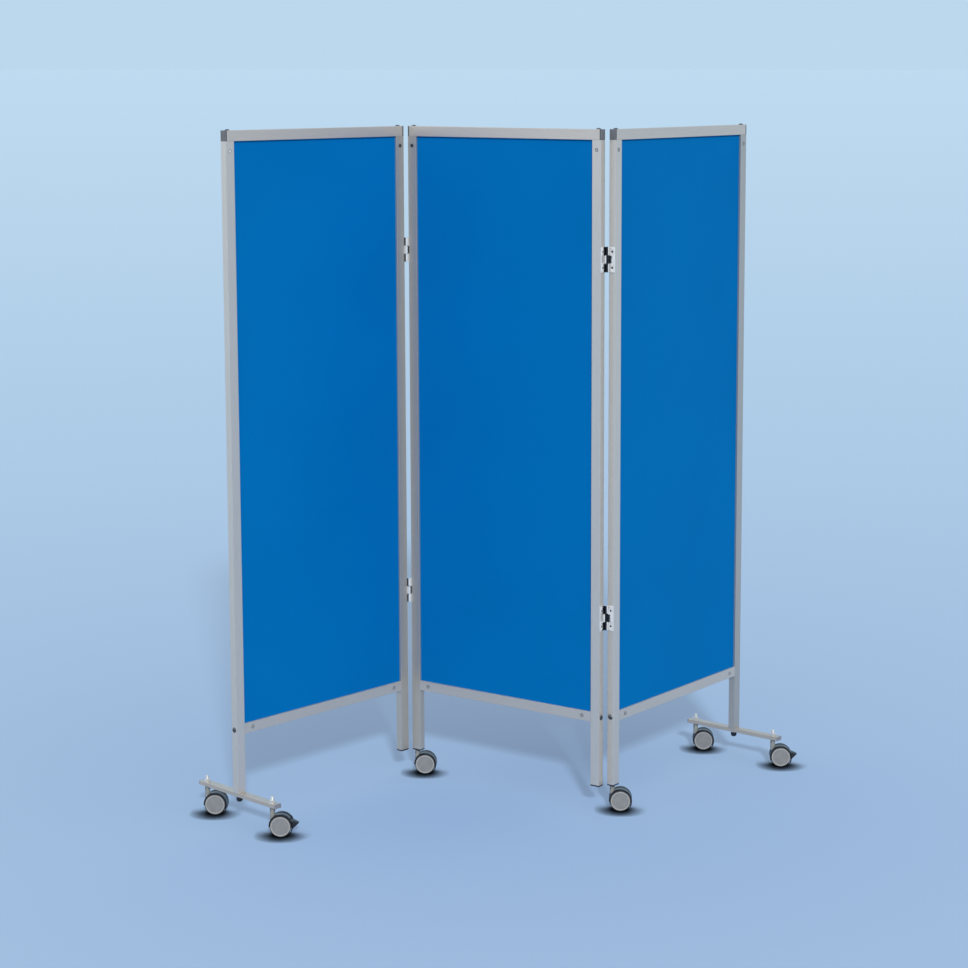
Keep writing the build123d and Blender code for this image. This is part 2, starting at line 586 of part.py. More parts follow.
def brake_pedal():
    """A brake pedal: a wedge outside the wheels, cut to clear their treads when up and when pressed."""
    px, pz = pedal_pin_place()
    inner = WHEEL_RADIUS + HOOD_GAP
    top = math.radians(PEDAL_TOP_ANGLE)
    low = math.radians(PEDAL_LOW_ANGLE)
    tip_x = TRAIL + PEDAL_REACH
    tip_z = AXLE_HEIGHT + PEDAL_TIP_RISE
    outline = [(TRAIL + inner * math.cos(top), AXLE_HEIGHT + inner * math.sin(top)),
               (tip_x, tip_z), (tip_x, tip_z - PEDAL_TIP_THICKNESS),
               (TRAIL + inner * math.cos(low), AXLE_HEIGHT + inner * math.sin(low))]
    upright = Plane((0, PEDAL_WIDTH / 2, 0), x_dir=(1, 0, 0), z_dir=(0, -1, 0))
    solid = extrude(upright * make_face(Polyline(*outline, close=True)), PEDAL_WIDTH)
    half_arm = PEDAL_ARM_WIDTH / 2
    arm_end = TRAIL + inner + HOOD_WALL
    treads = deep_rod(TRAIL, -PEDAL_WIDTH, PEDAL_WIDTH, AXLE_HEIGHT, WHEEL_RADIUS + PEDAL_SHOE_GAP)
    pressed = Pos(px, 0, pz) * Rot(0, -PEDAL_STROKE, 0) * Pos(-px, 0, -pz) * treads
    solid = solid - treads - pressed
    solid += block(px, arm_end, -half_arm, half_arm, pz - PEDAL_ARM_HEIGHT / 2, pz + PEDAL_ARM_HEIGHT / 2)
    solid += deep_rod(px, -half_arm, half_arm, pz, PEDAL_HUB_RADIUS)
    return solid - deep_rod(px, -half_arm, half_arm, pz, PEDAL_PIN_RADIUS + RUNNING_PLAY)


# Places: the leaves stand in a zigzag about the two hinge lines

LEFT_PIN_IN_LEFT = (LEAF_WIDTH + HINGE_HALF_GAP, -HINGE_FACE_OFFSET)
LEFT_PIN_IN_MIDDLE = (-HINGE_HALF_GAP, -HINGE_FACE_OFFSET)
RIGHT_PIN_IN_MIDDLE = (LEAF_WIDTH + HINGE_HALF_GAP, PROFILE_DEPTH + HINGE_FACE_OFFSET)
RIGHT_PIN_IN_RIGHT = (-HINGE_HALF_GAP, PROFILE_DEPTH + HINGE_FACE_OFFSET)


def hung(parent, in_parent, yaw, in_child):
    """The place of a leaf at a yaw, hung on the hinge line that its parent carries."""
    line = (parent * Pos(*in_parent)).position
    return Pos(line.X, line.Y) * Rot(0, 0, yaw) * Pos(-in_child[0], -in_child[1])


PLACES = {"middle": Rot(0, 0, MIDDLE_YAW)}
PLACES["left"] = hung(PLACES["middle"], LEFT_PIN_IN_MIDDLE, LEFT_YAW, LEFT_PIN_IN_LEFT)
PLACES["right"] = hung(PLACES["middle"], RIGHT_PIN_IN_MIDDLE, RIGHT_YAW, RIGHT_PIN_IN_RIGHT)

# Each castor: its leaf, its place in the leaf's frame, and whether it has a brake
CASTORS = {
    "left_rear_castor": ("left", POST_MIDS[0], MID_DEPTH + FOOT_STEM_PLACES[1], False),
    "left_front_castor": ("left", POST_MIDS[0], MID_DEPTH + FOOT_STEM_PLACES[0], True),
    "middle_castor": ("middle", CHAMBER_MID, MID_DEPTH, False),
    "right_inner_castor": ("right", CHAMBER_MID, MID_DEPTH, False),
    "right_rear_castor": ("right", POST_MIDS[1], MID_DEPTH + FOOT_STEM_PLACES[1], False),
    "right_front_castor": ("right", POST_MIDS[1], MID_DEPTH + FOOT_STEM_PLACES[0], True),
}


def castor_place(name):
    """The castor's place on the floor; all trail towards +X, whatever their leaf's yaw."""
    leaf, x, y, _ = CASTORS[name]
    at = (PLACES[leaf] * Pos(x, y)).position
    return Pos(at.X, at.Y)


def leaf_nodes(leaf):
    """The frame, panel, caps and fasteners of one leaf, by node name."""
    nodes = {
        f"{leaf}_leaf_left_post": [post(leaf, False)],
        f"{leaf}_leaf_right_post": [post(leaf, True)],
        f"{leaf}_leaf_top_rail": [top_rail()],
        f"{leaf}_leaf_bottom_rail": [bottom_rail()],
        f"{leaf}_leaf_panel": [panel()],
        f"{leaf}_leaf_end_caps": end_caps(leaf),
        f"{leaf}_leaf_frame_bolts": frame_bolts(leaf),
        f"{leaf}_leaf_barrel_nuts": barrel_nuts(),
        f"{leaf}_hinge_plates": hinge_plates(leaf),
        f"{leaf}_hinge_screws": hinge_screws(leaf),
    }
    if leaf == "middle":
        nodes["hinge_pins"] = hinge_pins()
    else:
        right = leaf == "right"
        nodes[f"{leaf}_foot_bar"] = [foot_bar(right)]
        nodes[f"{leaf}_foot_caps"] = foot_caps(right)
        nodes[f"{leaf}_foot_nuts"] = foot_nuts(right)
    return {name: [PLACES[leaf] * solid for solid in solids] for name, solids in nodes.items()}


def stem_solid(name):
    """A castor's stem at its place: through a foot bar and its nut, or up into a post's plug."""
    leaf, x, y, _ = CASTORS[name]
    on_foot = y != MID_DEPTH
    top = FOOT_TOP + NUT_HEIGHT + STUD_END if on_foot else POST_END + STUD_IN_POST
    return castor_place(name) * castor_stem(top, FOOT_BOTTOM if on_foot else POST_END)


def castor_nodes():
    """The castors' nodes: stems by leaf, then each castor's housing, wheels and pedal."""
    nodes = {}
    for leaf in ("left", "middle", "right"):
        nodes[f"{leaf}_castor_stems"] = [stem_solid(name) for name in CASTORS if CASTORS[name][0] == leaf]
    for name, (_, _, _, brake) in CASTORS.items():
        place = castor_place(name)
        nodes[f"{name}_housing"] = [place * solid for solid in castor_housing(brake)]
        nodes[f"{name}_near_wheel"] = [place * wheel(False)]
        nodes[f"{name}_far_wheel"] = [place * wheel(True)]
        if brake:
            nodes[f"{name.replace('_castor', '')}_brake_pedal"] = [place * brake_pedal()]
    return nodes


def all_nodes():
    """Every node of the screen, then moved so that the middle of its box on the floor is the origin."""
    nodes = {}
    for leaf in ("left", "middle", "right"):
        nodes.update(leaf_nodes(leaf))
    nodes.update(castor_nodes())
    box = Compound([solid for solids in nodes.values() for solid in solids]).bounding_box()
    shift = Pos(-box.center().X, -box.center().Y)
    return {name: [shift * solid for solid in solids] for name, solids in nodes.items()}, shift


NODES, SHIFT = all_nodes()

os.makedirs("parts", exist_ok=True)
for node_name, node_solids in NODES.items():
    made = [piece for solid in node_solids for piece in solid.solids()]
    export_step(Compound(made), f"parts/{node_name}.step")
print(len(NODES), "nodes, middle moved by", SHIFT.position)
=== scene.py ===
"""A folding screen of three blue leaves on castors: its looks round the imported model, in metres."""
import json
import math

import bmesh
import bpy
import numpy as np
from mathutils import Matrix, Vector


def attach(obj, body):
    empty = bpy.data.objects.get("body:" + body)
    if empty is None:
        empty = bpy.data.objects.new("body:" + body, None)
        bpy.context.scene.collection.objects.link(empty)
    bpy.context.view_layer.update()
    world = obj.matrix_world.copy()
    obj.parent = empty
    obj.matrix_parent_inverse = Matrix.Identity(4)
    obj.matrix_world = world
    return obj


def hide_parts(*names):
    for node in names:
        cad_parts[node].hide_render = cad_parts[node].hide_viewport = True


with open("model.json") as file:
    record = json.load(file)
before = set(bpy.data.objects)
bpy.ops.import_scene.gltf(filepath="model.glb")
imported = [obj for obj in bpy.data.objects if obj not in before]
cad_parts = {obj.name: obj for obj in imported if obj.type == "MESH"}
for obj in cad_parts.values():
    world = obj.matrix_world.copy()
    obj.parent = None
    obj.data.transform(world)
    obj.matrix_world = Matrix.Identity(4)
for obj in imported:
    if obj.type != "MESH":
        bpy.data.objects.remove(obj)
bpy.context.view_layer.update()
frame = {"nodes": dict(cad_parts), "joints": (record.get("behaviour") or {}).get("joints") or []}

MM = 0.001

# Meshes
POLE = 1e-7
DOUBLES = 1e-6
FAN_SHARE = 1e-6
FLAT_ANGLE = 1.0
SHARP_ANGLE = 32.0
BEVEL_ANGLE = 40.0
FACE_SEGMENTS = 64
PLATE_EDGE = 0.25 * MM
CAP_ROUND = 0.3 * MM

# Leaves, as the solids have them
LEAF_WIDTH = 0.565
PROFILE_FACE = 0.025
PROFILE_DEPTH = 0.018
TOTAL_HEIGHT = 1.650
FOOT_BOTTOM = 0.068
FOOT_TOP = 0.078
POST_END = 0.060
BOTTOM_RAIL_Z = 0.220
HINGE_HALF_GAP = 0.0038
HINGE_FACE_OFFSET = 0.0034
YAWS = {"left": 49.0, "middle": -32.0, "right": 54.0}
POST_MIDS = (PROFILE_FACE / 2, LEAF_WIDTH - PROFILE_FACE / 2)
MID_DEPTH = PROFILE_DEPTH / 2
RAIL_MID_Z = BOTTOM_RAIL_Z + PROFILE_FACE / 2

# Bolts, nuts and washers
HEAD_RADIUS = 0.0066
HEAD_HEIGHT = 0.0030
BOLT_RADIUS = 0.0025
SOCKET_FLATS = 0.0034
SOCKET_DEPTH = 0.0018
SOCKET_MOUTH = 0.94
SOCKET_BEVEL = 0.15 * MM
TOP_BOLT_END = 1.5925
SIDE_BOLT_REACH = 0.0595
FOOT_DOME_RADIUS = 0.0075
FOOT_DOME_HEIGHT = 0.0145
FOOT_BOLT_END = 0.102
FOOT_WASHER_RADIUS = 0.0085
NUT_FLATS = 0.013
NUT_HEIGHT = 0.0065
NUT_CONE = 0.97
NUT_CONE_SLOPE = 1.7
WASHER_RADIUS = 0.0080
WASHER_THICKNESS = 0.0014

# Hinges and their screws
HINGE_THICKNESS = 0.002
HINGE_CENTRES = (1.344, 0.478)
SCREW_HEAD_RADIUS = 0.0034
SCREW_RADIUS = 1.7 * MM
SCREW_SPACING = 0.038
SCREW_LENGTH = 0.012
SCREW_INSET = 0.0105
RECESS_HALF_WIDTH = 0.55 * MM
RECESS_REACH = 0.62
RECESS_DEPTH = 0.9 * MM
RECESS_ROWS = 13
KNUCKLE_EDGE = (9.0 * MM, 11.0 * MM)
KNUCKLE_REACH = (11.0 * MM, 14.0 * MM)
FAR_SIDE_EDGE = (-0.4 * MM, 0.6 * MM)
WAVER = 1.2 * MM

# Barrel nuts
BARREL_RADIUS = 0.0045
BARREL_LENGTH = 0.015
BARREL_PROUD = 0.0004
BARREL_EDGE = 0.3 * MM
SLOT_HALF_WIDTH = 0.75 * MM
SLOT_DEPTH = 1.1 * MM
TOP_BARREL_Z = 1.602
SIDE_BARREL_PLACES = (0.050, LEAF_WIDTH - 0.050)
NUT_FACE_ROWS = 12
# Painted light on the top barrel nuts' faces: a painted highlight in bright steel on the left leaf's left nut, and
# painted shade in the bolts' dark steel on the two in the fold between the left and middle leaves
PAINTED_NUT_LIGHT = {("left", False): 0, ("left", True): 1, ("middle", False): 1}

# Wheels
WHEEL_RADIUS = 0.025
WHEEL_INNER = 0.0066
WHEEL_OUTER = 0.0190
WHEEL_FACE = WHEEL_OUTER - 0.6 * MM
DISC_RADIUS = 0.0196
GROOVE_DROP = 0.35 * MM
RING_FIRST = 0.0202
RING_LAST = 0.0234
RING_CENTRES = (0.0212, 0.0224)
RING_EDGE = 0.8 * MM
SHOULDER = 1.6 * MM
SHOULDER_DROP = 0.45 * MM
TREAD_GROOVE = (0.0132, 0.0129, 0.0126)
GROOVE_DEPTH = 0.25 * MM
RIM_INSIDE = 0.0218
HUB_RADIUS = 0.0070
HUB_FACE = 0.0069
AXLE_HOLE = 0.0026
HOLLOW_DEPTH = 0.0154
RIBS = 6
RIB_HALF_WIDTH = 0.5 * MM
RIB_RADII = (0.0068, 0.0219)
RIB_DEPTHS = (0.0095, 0.0156)

# Castor housings
TRAIL = 0.020
HOOD_INNER = 0.026
HOOD_OUTER = 0.0282
HOOD_HALF_WIDTH = 0.0176
HOOD_FIRST = -35.0
HOOD_LAST = 187.0
BRAKED_HOOD_FIRST = 38.0
HOOD_END = 3.0
RIM_DROP = 0.0012
RIM_SHARE = 0.36
BAND_EDGE = 1.02
TAIL_FLARE = 0.0018
TAIL_START = 25.0
CHEEK_LAST = 41.0
CHEEK_FLAT = 0.8
CHEEK_ROUND = 0.2
CHEEK_DROP = 0.7 * MM
CHEEK_GAP = 0.4 * MM
WEB_HALF = 0.0062
WEB_FLOOR_GAP = 0.008
WEB_NOTCH = (-43, 37)
BOSS = ((POLE, 0.0116), (0.0054, 0.0116), (WEB_HALF, 0.0124), (WEB_HALF, 0.0396), (POLE, 0.0397))
AXLE_RADIUS = 0.0025
AXLE_HALF = 0.0149

# Castor stems
STEM_END = 0.0142
SEAT_HEIGHT = 0.040
COLLAR_RADIUS = 0.0062
COLLAR_BEVEL = 0.6 * MM
COLLAR_GROOVE = 0.5 * MM
GROOVE_ROWS = (5, 6, 7)
STUD_RADIUS = 0.0040
STUD_TOP = 0.0935
POST_STUD_LENGTH = 0.0218
STUD_CLEARANCE = 0.02 * MM
THREAD_PITCH = 0.00125
THREAD_DEPTH = 0.00045
SET_SCREW_TURN = -0.75
SET_SCREW_DROP = 7.5 * MM

# Brake pedals
PEDAL_HALF_WIDTH = 0.012
PEDAL_TAPER = 0.5
TAPER_START = 0.028
TAPER_REACH = 0.014
PEDAL_INNER = 0.0262
PEDAL_FIRST = -18.0
PEDAL_LAST = 27.0
PEDAL_STEPS = 12
LEAVES_BELOW = 5.0
LEAVES_SHARE = 0.06
PEDAL_TIP = (0.0411, 0.0050)
PEDAL_TIP_RADIUS = 0.9 * MM
GRIP_SHARES = (0.35, 0.5, 0.65, 0.8)
GRIP_INSET = 2.4 * MM
PEDAL_ARM = (0.0224, 0.002)
PEDAL_ARM_RADIUS = 3.4 * MM
PEDAL_ARM_HALF_WIDTH = 2.9 * MM

# Materials
NOISE_SPAN = (0.3, 0.7)
CLOUD_SPAN = (0.35, 0.65)
GRAIN_UPRIGHT = (30.0, 30.0, 0.6)
GRAIN_LEVEL = (0.6, 0.6, 30.0)
RAIL_TONE = (0.96, 0.94, 0.93)
CHROME = (0.86, 0.87, 0.88, 1)
# Painted dark reflection and shade of the hinge plates, put into their colour
CHROME_PAINTED_DARK = (0.012, 0.015, 0.022, 1)
# Heights of the painted shadow gap above the uprights' plugs, then how far the caps' dark reaches along the top
# rails' ends
PLUG_SHADE_EDGE = (3.4 * MM, 3.7 * MM)
CAP_EDGE = (4.2 * MM, 4.0 * MM)

# The photograph's camera
CAMERA_PLACE = (0.2491, -5.5201, 1.792)
CAMERA_PITCH = 7.80
CAMERA_TURN = 1.61
FOCAL_PIXELS = 2278.0
CENTRE_PIXEL = (545.0, 380.0)
PICTURE = 968.0
SENSOR = 36.0
CLIP_END = 4000


# Shapes

class Shape:
    """Grids of points gathered into one mesh, each with the number of its material."""

    def __init__(self):
        self.points = []
        self.faces = []
        self.materials = []
        self.count = 0

    def add(self, grid, material=0, around=False, along=False):
        """Adds a grid (rows, columns, 3) as quads. around joins the last column to the first, along the last row
        to the first. material is one number, or an array that spreads over the rows and columns of quads."""
        rows, columns = grid.shape[:2]
        index = np.arange(rows * columns).reshape(rows, columns) + self.count
        if around:
            index = np.concatenate([index, index[:, :1]], axis=1)
        if along:
            index = np.concatenate([index, index[:1]], axis=0)
        quads = np.stack([index[:-1, :-1], index[:-1, 1:], index[1:, 1:], index[1:, :-1]], axis=-1)
        self.points.append(grid.reshape(-1, 3))
        self.faces.append(quads.reshape(-1, 4))
        self.materials.append(np.broadcast_to(material, quads.shape[:2]).reshape(-1))
        self.count += rows * columns
        return self

    def mesh(self, name, materials):
        """The grids so far as one mesh."""
        mesh = bpy.data.meshes.new(name)
        mesh.from_pydata(np.concatenate(self.points), [], np.concatenate(self.faces).tolist())
        mesh.polygons.foreach_set("material_index", np.concatenate(self.materials).astype(np.int32))
        for material in materials:
            mesh.materials.append(material)
        return mesh

    def piece(self, name, materials, body, slot, replaced=()):
        """Makes the object: doubles merged, faces turned outwards, creases sharper than an angle kept sharp."""
        mesh = self.mesh(name, [MATERIALS[material] for material in materials])
        work = bmesh.new()
        work.from_mesh(mesh)
        bmesh.ops.remove_doubles(work, verts=work.verts, dist=DOUBLES)
        bmesh.ops.dissolve_degenerate(work, edges=work.edges, dist=POLE)
        bmesh.ops.recalc_face_normals(work, faces=work.faces)
        work.to_mesh(mesh)
        work.free()
        mesh.shade_smooth()
        mesh.set_sharp_from_angle(angle=math.radians(SHARP_ANGLE))
        made = placed(name, mesh)
        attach(made, body)
        if replaced:
            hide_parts(*replaced)


def placed(name, data):
    """A new object in the scene."""
    made = bpy.data.objects.new(name, data)
    bpy.context.scene.collection.objects.link(made)
    return made


def turned(points, axes, origin):
    """Points given along three axes, the rows, moved to an origin."""
    return points @ axes + origin


def circle(segments):
    """The angles of a full turn in even steps."""
    return np.arange(segments) * 2 * np.pi / segments


def ring_points(r, t, h):
    """Points about Z: r cos t, r sin t, h."""
    return np.stack([r * np.cos(t), r * np.sin(t), h + 0 * t], axis=-1)


def lathe(profile, segments=48):
    """A profile of (radius, height) turned about Z: x = r cos t, y = r sin t, z = h."""
    profile = np.asarray(profile, float)
    return ring_points(profile[:, :1], circle(segments), profile[:, 1:])


def arc(centre, radius, first, last, steps=6):
    """Points (x, y) of an arc about a centre, angles in degrees."""
    t = np.radians(np.linspace(first, last, steps))
    return np.stack([centre[0] + radius * np.cos(t), centre[1] + radius * np.sin(t)], axis=1)


def hexagon_radius(t, flats):
    """The distance from the axis to a hexagon's side, at angle t: half the flats over the cosine of the rest."""
    return flats / 2 / np.cos((t + np.pi / 6) % (np.pi / 3) - np.pi / 6)


def dome_profile(radius, height):
    """A dome's (radius, height) points from its rim to its crown, on the sphere that passes through both."""
    ball = (radius**2 + height**2) / (2 * height)
    centre = height - ball
    t = np.linspace(math.asin(-centre / ball), math.pi / 2, 10)
    return np.stack([np.minimum(ball * np.cos(t), radius), centre + ball * np.sin(t)], axis=1)


def socket_head(radius, height, shank_radius, shank_end):
    """A button head on its shank, with a hexagon socket: rings about Z, round up to the socket's mouth, then
    hexagons r = hexagon(t) down to a floor that lies a socket's depth lower."""
    t = circle(48)
    hexagon = hexagon_radius(t, SOCKET_FLATS)
    mouth = height * SOCKET_MOUTH
    rings = [(POLE, shank_end), (shank_radius, shank_end), (shank_radius, 0.0),
             *dome_profile(radius, height)[:-2],
             (hexagon * 1.06, mouth), (hexagon, mouth - SOCKET_BEVEL), (hexagon, mouth - SOCKET_DEPTH),
             (hexagon * 0.5, mouth - SOCKET_DEPTH * 1.1), (POLE, mouth - SOCKET_DEPTH * 1.2)]
    return np.stack([ring_points(r, t, h) for r, h in rings])


def face_rings(radius, first, last, rings):
    """x and y of rings on a round face, from its middle and then from a first to a last share of its radius."""
    radii = np.concatenate([[POLE], np.linspace(first, last, rings)])[:, None] * radius
    t = circle(FACE_SEGMENTS)
    return radii * np.cos(t), radii * np.sin(t)


def cross_head(radius, thickness, shank_radius, length):
    """A countersunk screw with a cross recess. Heights on the head's face fall inside the cross:
    z = -depth * smooth(width - the nearer of |x| and |y|) within the recess's reach."""
    x, y = face_rings(radius, 0.05, 1.0, 16)
    near = np.minimum(abs(x), abs(y))
    far = np.maximum(abs(x), abs(y))
    inside = (np.clip((RECESS_HALF_WIDTH - near) / (0.25 * MM), 0, 1)
              * np.clip((RECESS_REACH * radius - far) / (0.2 * MM), 0, 1))
    face = np.stack([x, y, -RECESS_DEPTH * inside * (1 - 0.5 * far / radius)], axis=-1)
    side = lathe([(radius, 0), (radius, -0.2 * MM), (shank_radius, -thickness), (shank_radius, -length),
                  (POLE, -length)], FACE_SEGMENTS)
    return np.concatenate([face, side])


def threaded(radius, low, high):
    """A screw thread: r = R - depth |2 p - 1|, where p is the fraction of z / pitch - t / 2 pi. The last turns
    run out in a cone."""
    segments = 32
    z = np.linspace(low, high, int((high - low) / THREAD_PITCH * 6) + 1)[:, None]
    t = circle(segments)[None]
    phase = (z / THREAD_PITCH - t / (2 * np.pi)) % 1.0
    r = radius - THREAD_DEPTH * abs(2 * phase - 1)
    r = np.minimum(r, radius - 0.6 * MM + (high - z) * 1.2)
    tip = lathe([(radius - 1.1 * MM, high + 0.15 * MM), (POLE, high + 0.2 * MM)], segments)
    return np.concatenate([ring_points(r, t, z), tip])


def slab(outline, half_width, edge, steps=5):
    """A plate between y = -w and w with rounded edges: the outline (x, z) shrinks towards its middle by
    edge (1 - cos a) while y grows by edge sin a, and fans close both faces."""
    middle = outline.mean(axis=0)
    reach = np.linalg.norm(outline - middle, axis=1, keepdims=True)
    a = np.linspace(0, np.pi / 2, steps)
    shrink = np.concatenate([1 - np.cos(a[::-1]), 1 - np.cos(a)])
    flat = half_width - edge
    y = np.concatenate([-flat - edge * np.sin(a[::-1]), flat + edge * np.sin(a)])
    fan = middle + (outline - middle) * FAN_SHARE
    rings = [fan, *(middle + (outline - middle) * (1 - edge * s / reach) for s in shrink), fan]
    widths = [-half_width, *y, half_width]
    return np.stack([np.insert(ring, 1, width, axis=1) for ring, width in zip(rings, widths)])


# Materials

def linear(red, green, blue):
    """A picture colour of 0 to 255 as linear light."""
    c = np.array([red, green, blue]) / 255
    return (*np.where(c <= 0.04045, c / 12.92, ((c + 0.055) / 1.055) ** 2.4), 1.0)


class Finish:
    """A material with its shader, and short ways to add the nodes that vary it."""

    def __init__(self, name, colour, roughness, metallic=0.0, specular=0.5):
        self.material = bpy.data.materials.new(name)
        self.material.use_nodes = True
        self.nodes = self.material.node_tree.nodes
        self.links = self.material.node_tree.links
        self.shader = self.nodes["Principled BSDF"]
        self.shader.inputs["Base Color"].default_value = colour
        self.shader.inputs["Roughness"].default_value = roughness
        self.shader.inputs["Metallic"].default_value = metallic
        self.shader.inputs["Specular IOR Level"].default_value = specular
        self.coordinates = self.nodes.new("ShaderNodeTexCoord").outputs["Object"]

    def noise(self, scale, detail=3.0, stretch=(1.0, 1.0, 1.0)):
        """Noise on object coordinates, stretched along an axis for grain."""
        mapping = self.nodes.new("ShaderNodeMapping")
        mapping.inputs["Scale"].default_value = stretch
        self.links.new(self.coordinates, mapping.inputs["Vector"])
        texture = self.nodes.new("ShaderNodeTexNoise")
        texture.inputs["Scale"].default_value = scale
        texture.inputs["Detail"].default_value = detail
        self.links.new(mapping.outputs["Vector"], texture.inputs["Vector"])
        return texture.outputs["Fac"]

    def spread(self, value, low, high, start, end):
        """A value from start to end mapped to low to high."""
        remap = self.nodes.new("ShaderNodeMapRange")
        remap.inputs["From Min"].default_value = start
        remap.inputs["From Max"].default_value = end
        remap.inputs["To Min"].default_value = low
        remap.inputs["To Max"].default_value = high
        self.links.new(value, remap.inputs["Value"])
        return remap.outputs["Result"]

    def colours(self, value, first, second):
        """Two colours mixed by a value from 0 to 1, as the base colour."""
        mix = self.nodes.new("ShaderNodeMix")
        mix.data_type = "RGBA"
        mix.inputs["A"].default_value = first
        mix.inputs["B"].default_value = second
        self.links.new(value, mix.inputs["Factor"])
        self.links.new(mix.outputs["Result"], self.shader.inputs["Base Color"])
        return mix.outputs["Result"]

    def clouds(self, scale, detail, first, second):
        """Two near colours in soft clouds, as the base colour."""
        self.colours(self.spread(self.noise(scale, detail), 0, 1, *CLOUD_SPAN), first, second)

    def sums(self, operation, first, second=None):
        """One step of arithmetic on values or numbers."""
        node = self.nodes.new("ShaderNodeMath")
        node.operation = operation
        for socket, value in zip(node.inputs, (first, second)):
            if isinstance(value, (int, float)):
                socket.default_value = value
            elif value is not None:
                self.links.new(value, socket)
        return node.outputs["Value"]

    def place_along(self, way, start):
        """How far a point lies along a direction, from where it crosses start."""
        dot = self.nodes.new("ShaderNodeVectorMath")
        dot.operation = "DOT_PRODUCT"
        dot.inputs[1].default_value = tuple(way)
        self.links.new(self.coordinates, dot.inputs[0])
        return self.sums("SUBTRACT", dot.outputs["Value"], float(start))

    def roughness(self, texture, low, high):
        """Roughness from low to high, as a noise goes."""
        self.links.new(self.spread(texture, low, high, *NOISE_SPAN), self.shader.inputs["Roughness"])

    def bump(self, value, distance, strength):
        """Relief from a value, in metres."""
        node = self.nodes.new("ShaderNodeBump")
        node.inputs["Distance"].default_value = distance
        node.inputs["Strength"].default_value = strength
        self.links.new(value, node.inputs["Height"])
        self.links.new(node.outputs["Normal"], self.shader.inputs["Normal"])


def panel_blue():
    """The leaves' blue boards: even satin colour, a very fine leathery relief, faint clouding."""
    finish = Finish("panel_blue", linear(0, 107, 179), 0.7, specular=0.02)
    finish.clouds(3.0, 2.0, linear(0, 105, 177), linear(0, 108, 181))
    finish.roughness(finish.noise(260.0), 0.62, 0.76)
    finish.bump(finish.noise(900.0, 4.0), 0.00006, 0.5)
    return finish.material


def anodised(name, stretch, tone=(1.0, 1.0, 1.0), ends=None):
    """Satin anodised aluminium: fine grain along the extrusion, in colour, roughness and relief. ends turns the
    finish into a value that is 1 where it goes dark: painted shade of the gap at an upright's plug, or a top rail's
    ends, dark like its caps."""
    finish = Finish(name, (0.62, 0.61, 0.60, 1), 0.38, metallic=0.7)
    grain = finish.noise(40.0, 4.0, stretch)
    shades = ((*(np.array(shade) * tone), 1) for shade in ((0.61, 0.59, 0.56), (0.67, 0.65, 0.62)))
    satin = finish.colours(finish.spread(grain, 0, 1, *NOISE_SPAN), *shades)
    if ends:
        # The dark of the ends: painted shade at an upright's plug, and a dark like the caps' on a top rail
        edge = finish.colours(ends(finish), (0, 0, 0, 1), (0.085, 0.095, 0.115, 1)).node
        finish.links.new(satin, edge.inputs["A"])
    finish.roughness(finish.noise(55.0, 3.0, stretch), 0.33, 0.45)
    finish.bump(grain, 0.00002, 0.35)
    return finish.material


def plug_gap_shade(finish):
    """1 on an upright's low end, its plug and the next millimetre and a half: painted shade of a gap above the plug.
    """
    return finish.spread(finish.place_along((0, 0, 1), POST_END), 1, 0, *PLUG_SHADE_EDGE)


def grained_plastic(name, colour, lighter, roughness, specular=0.4):
    """Moulded plastic: two near shades in soft clouds and a fine moulded grain."""
    finish = Finish(name, linear(*colour), roughness, specular=specular)
    finish.clouds(90.0, 3.0, linear(*colour), linear(*lighter))
    finish.roughness(finish.noise(300.0), roughness - 0.06, roughness + 0.06)
    finish.bump(finish.noise(1500.0, 2.0), 0.00004, 0.5)
    return finish.material


def plated(name, colour, second, roughness, metallic=1.0):
    """Plated steel: clouded colour and roughness, with tiny pits."""
    finish = Finish(name, colour, roughness, metallic=metallic)
    finish.clouds(120.0, 4.0, colour, second)
    finish.roughness(finish.noise(400.0), roughness * 0.75, roughness * 1.3)
    finish.bump(finish.noise(1200.0, 3.0), 0.00002, 0.4)
    return finish.material


def gloss_black():
    """Glossy moulded plastic of the castor hoods, with a soft unevenness that bends its reflections."""
    finish = Finish("hood_gloss_black", (0.006, 0.007, 0.011, 1), 0.2, specular=0.22)
    finish.clouds(160.0, 3.0, (0.005, 0.006, 0.010, 1), (0.009, 0.010, 0.015, 1))
    finish.roughness(finish.noise(220.0), 0.14, 0.26)
    finish.bump(finish.noise(70.0, 2.0), 0.00010, 0.3)
    return finish.material


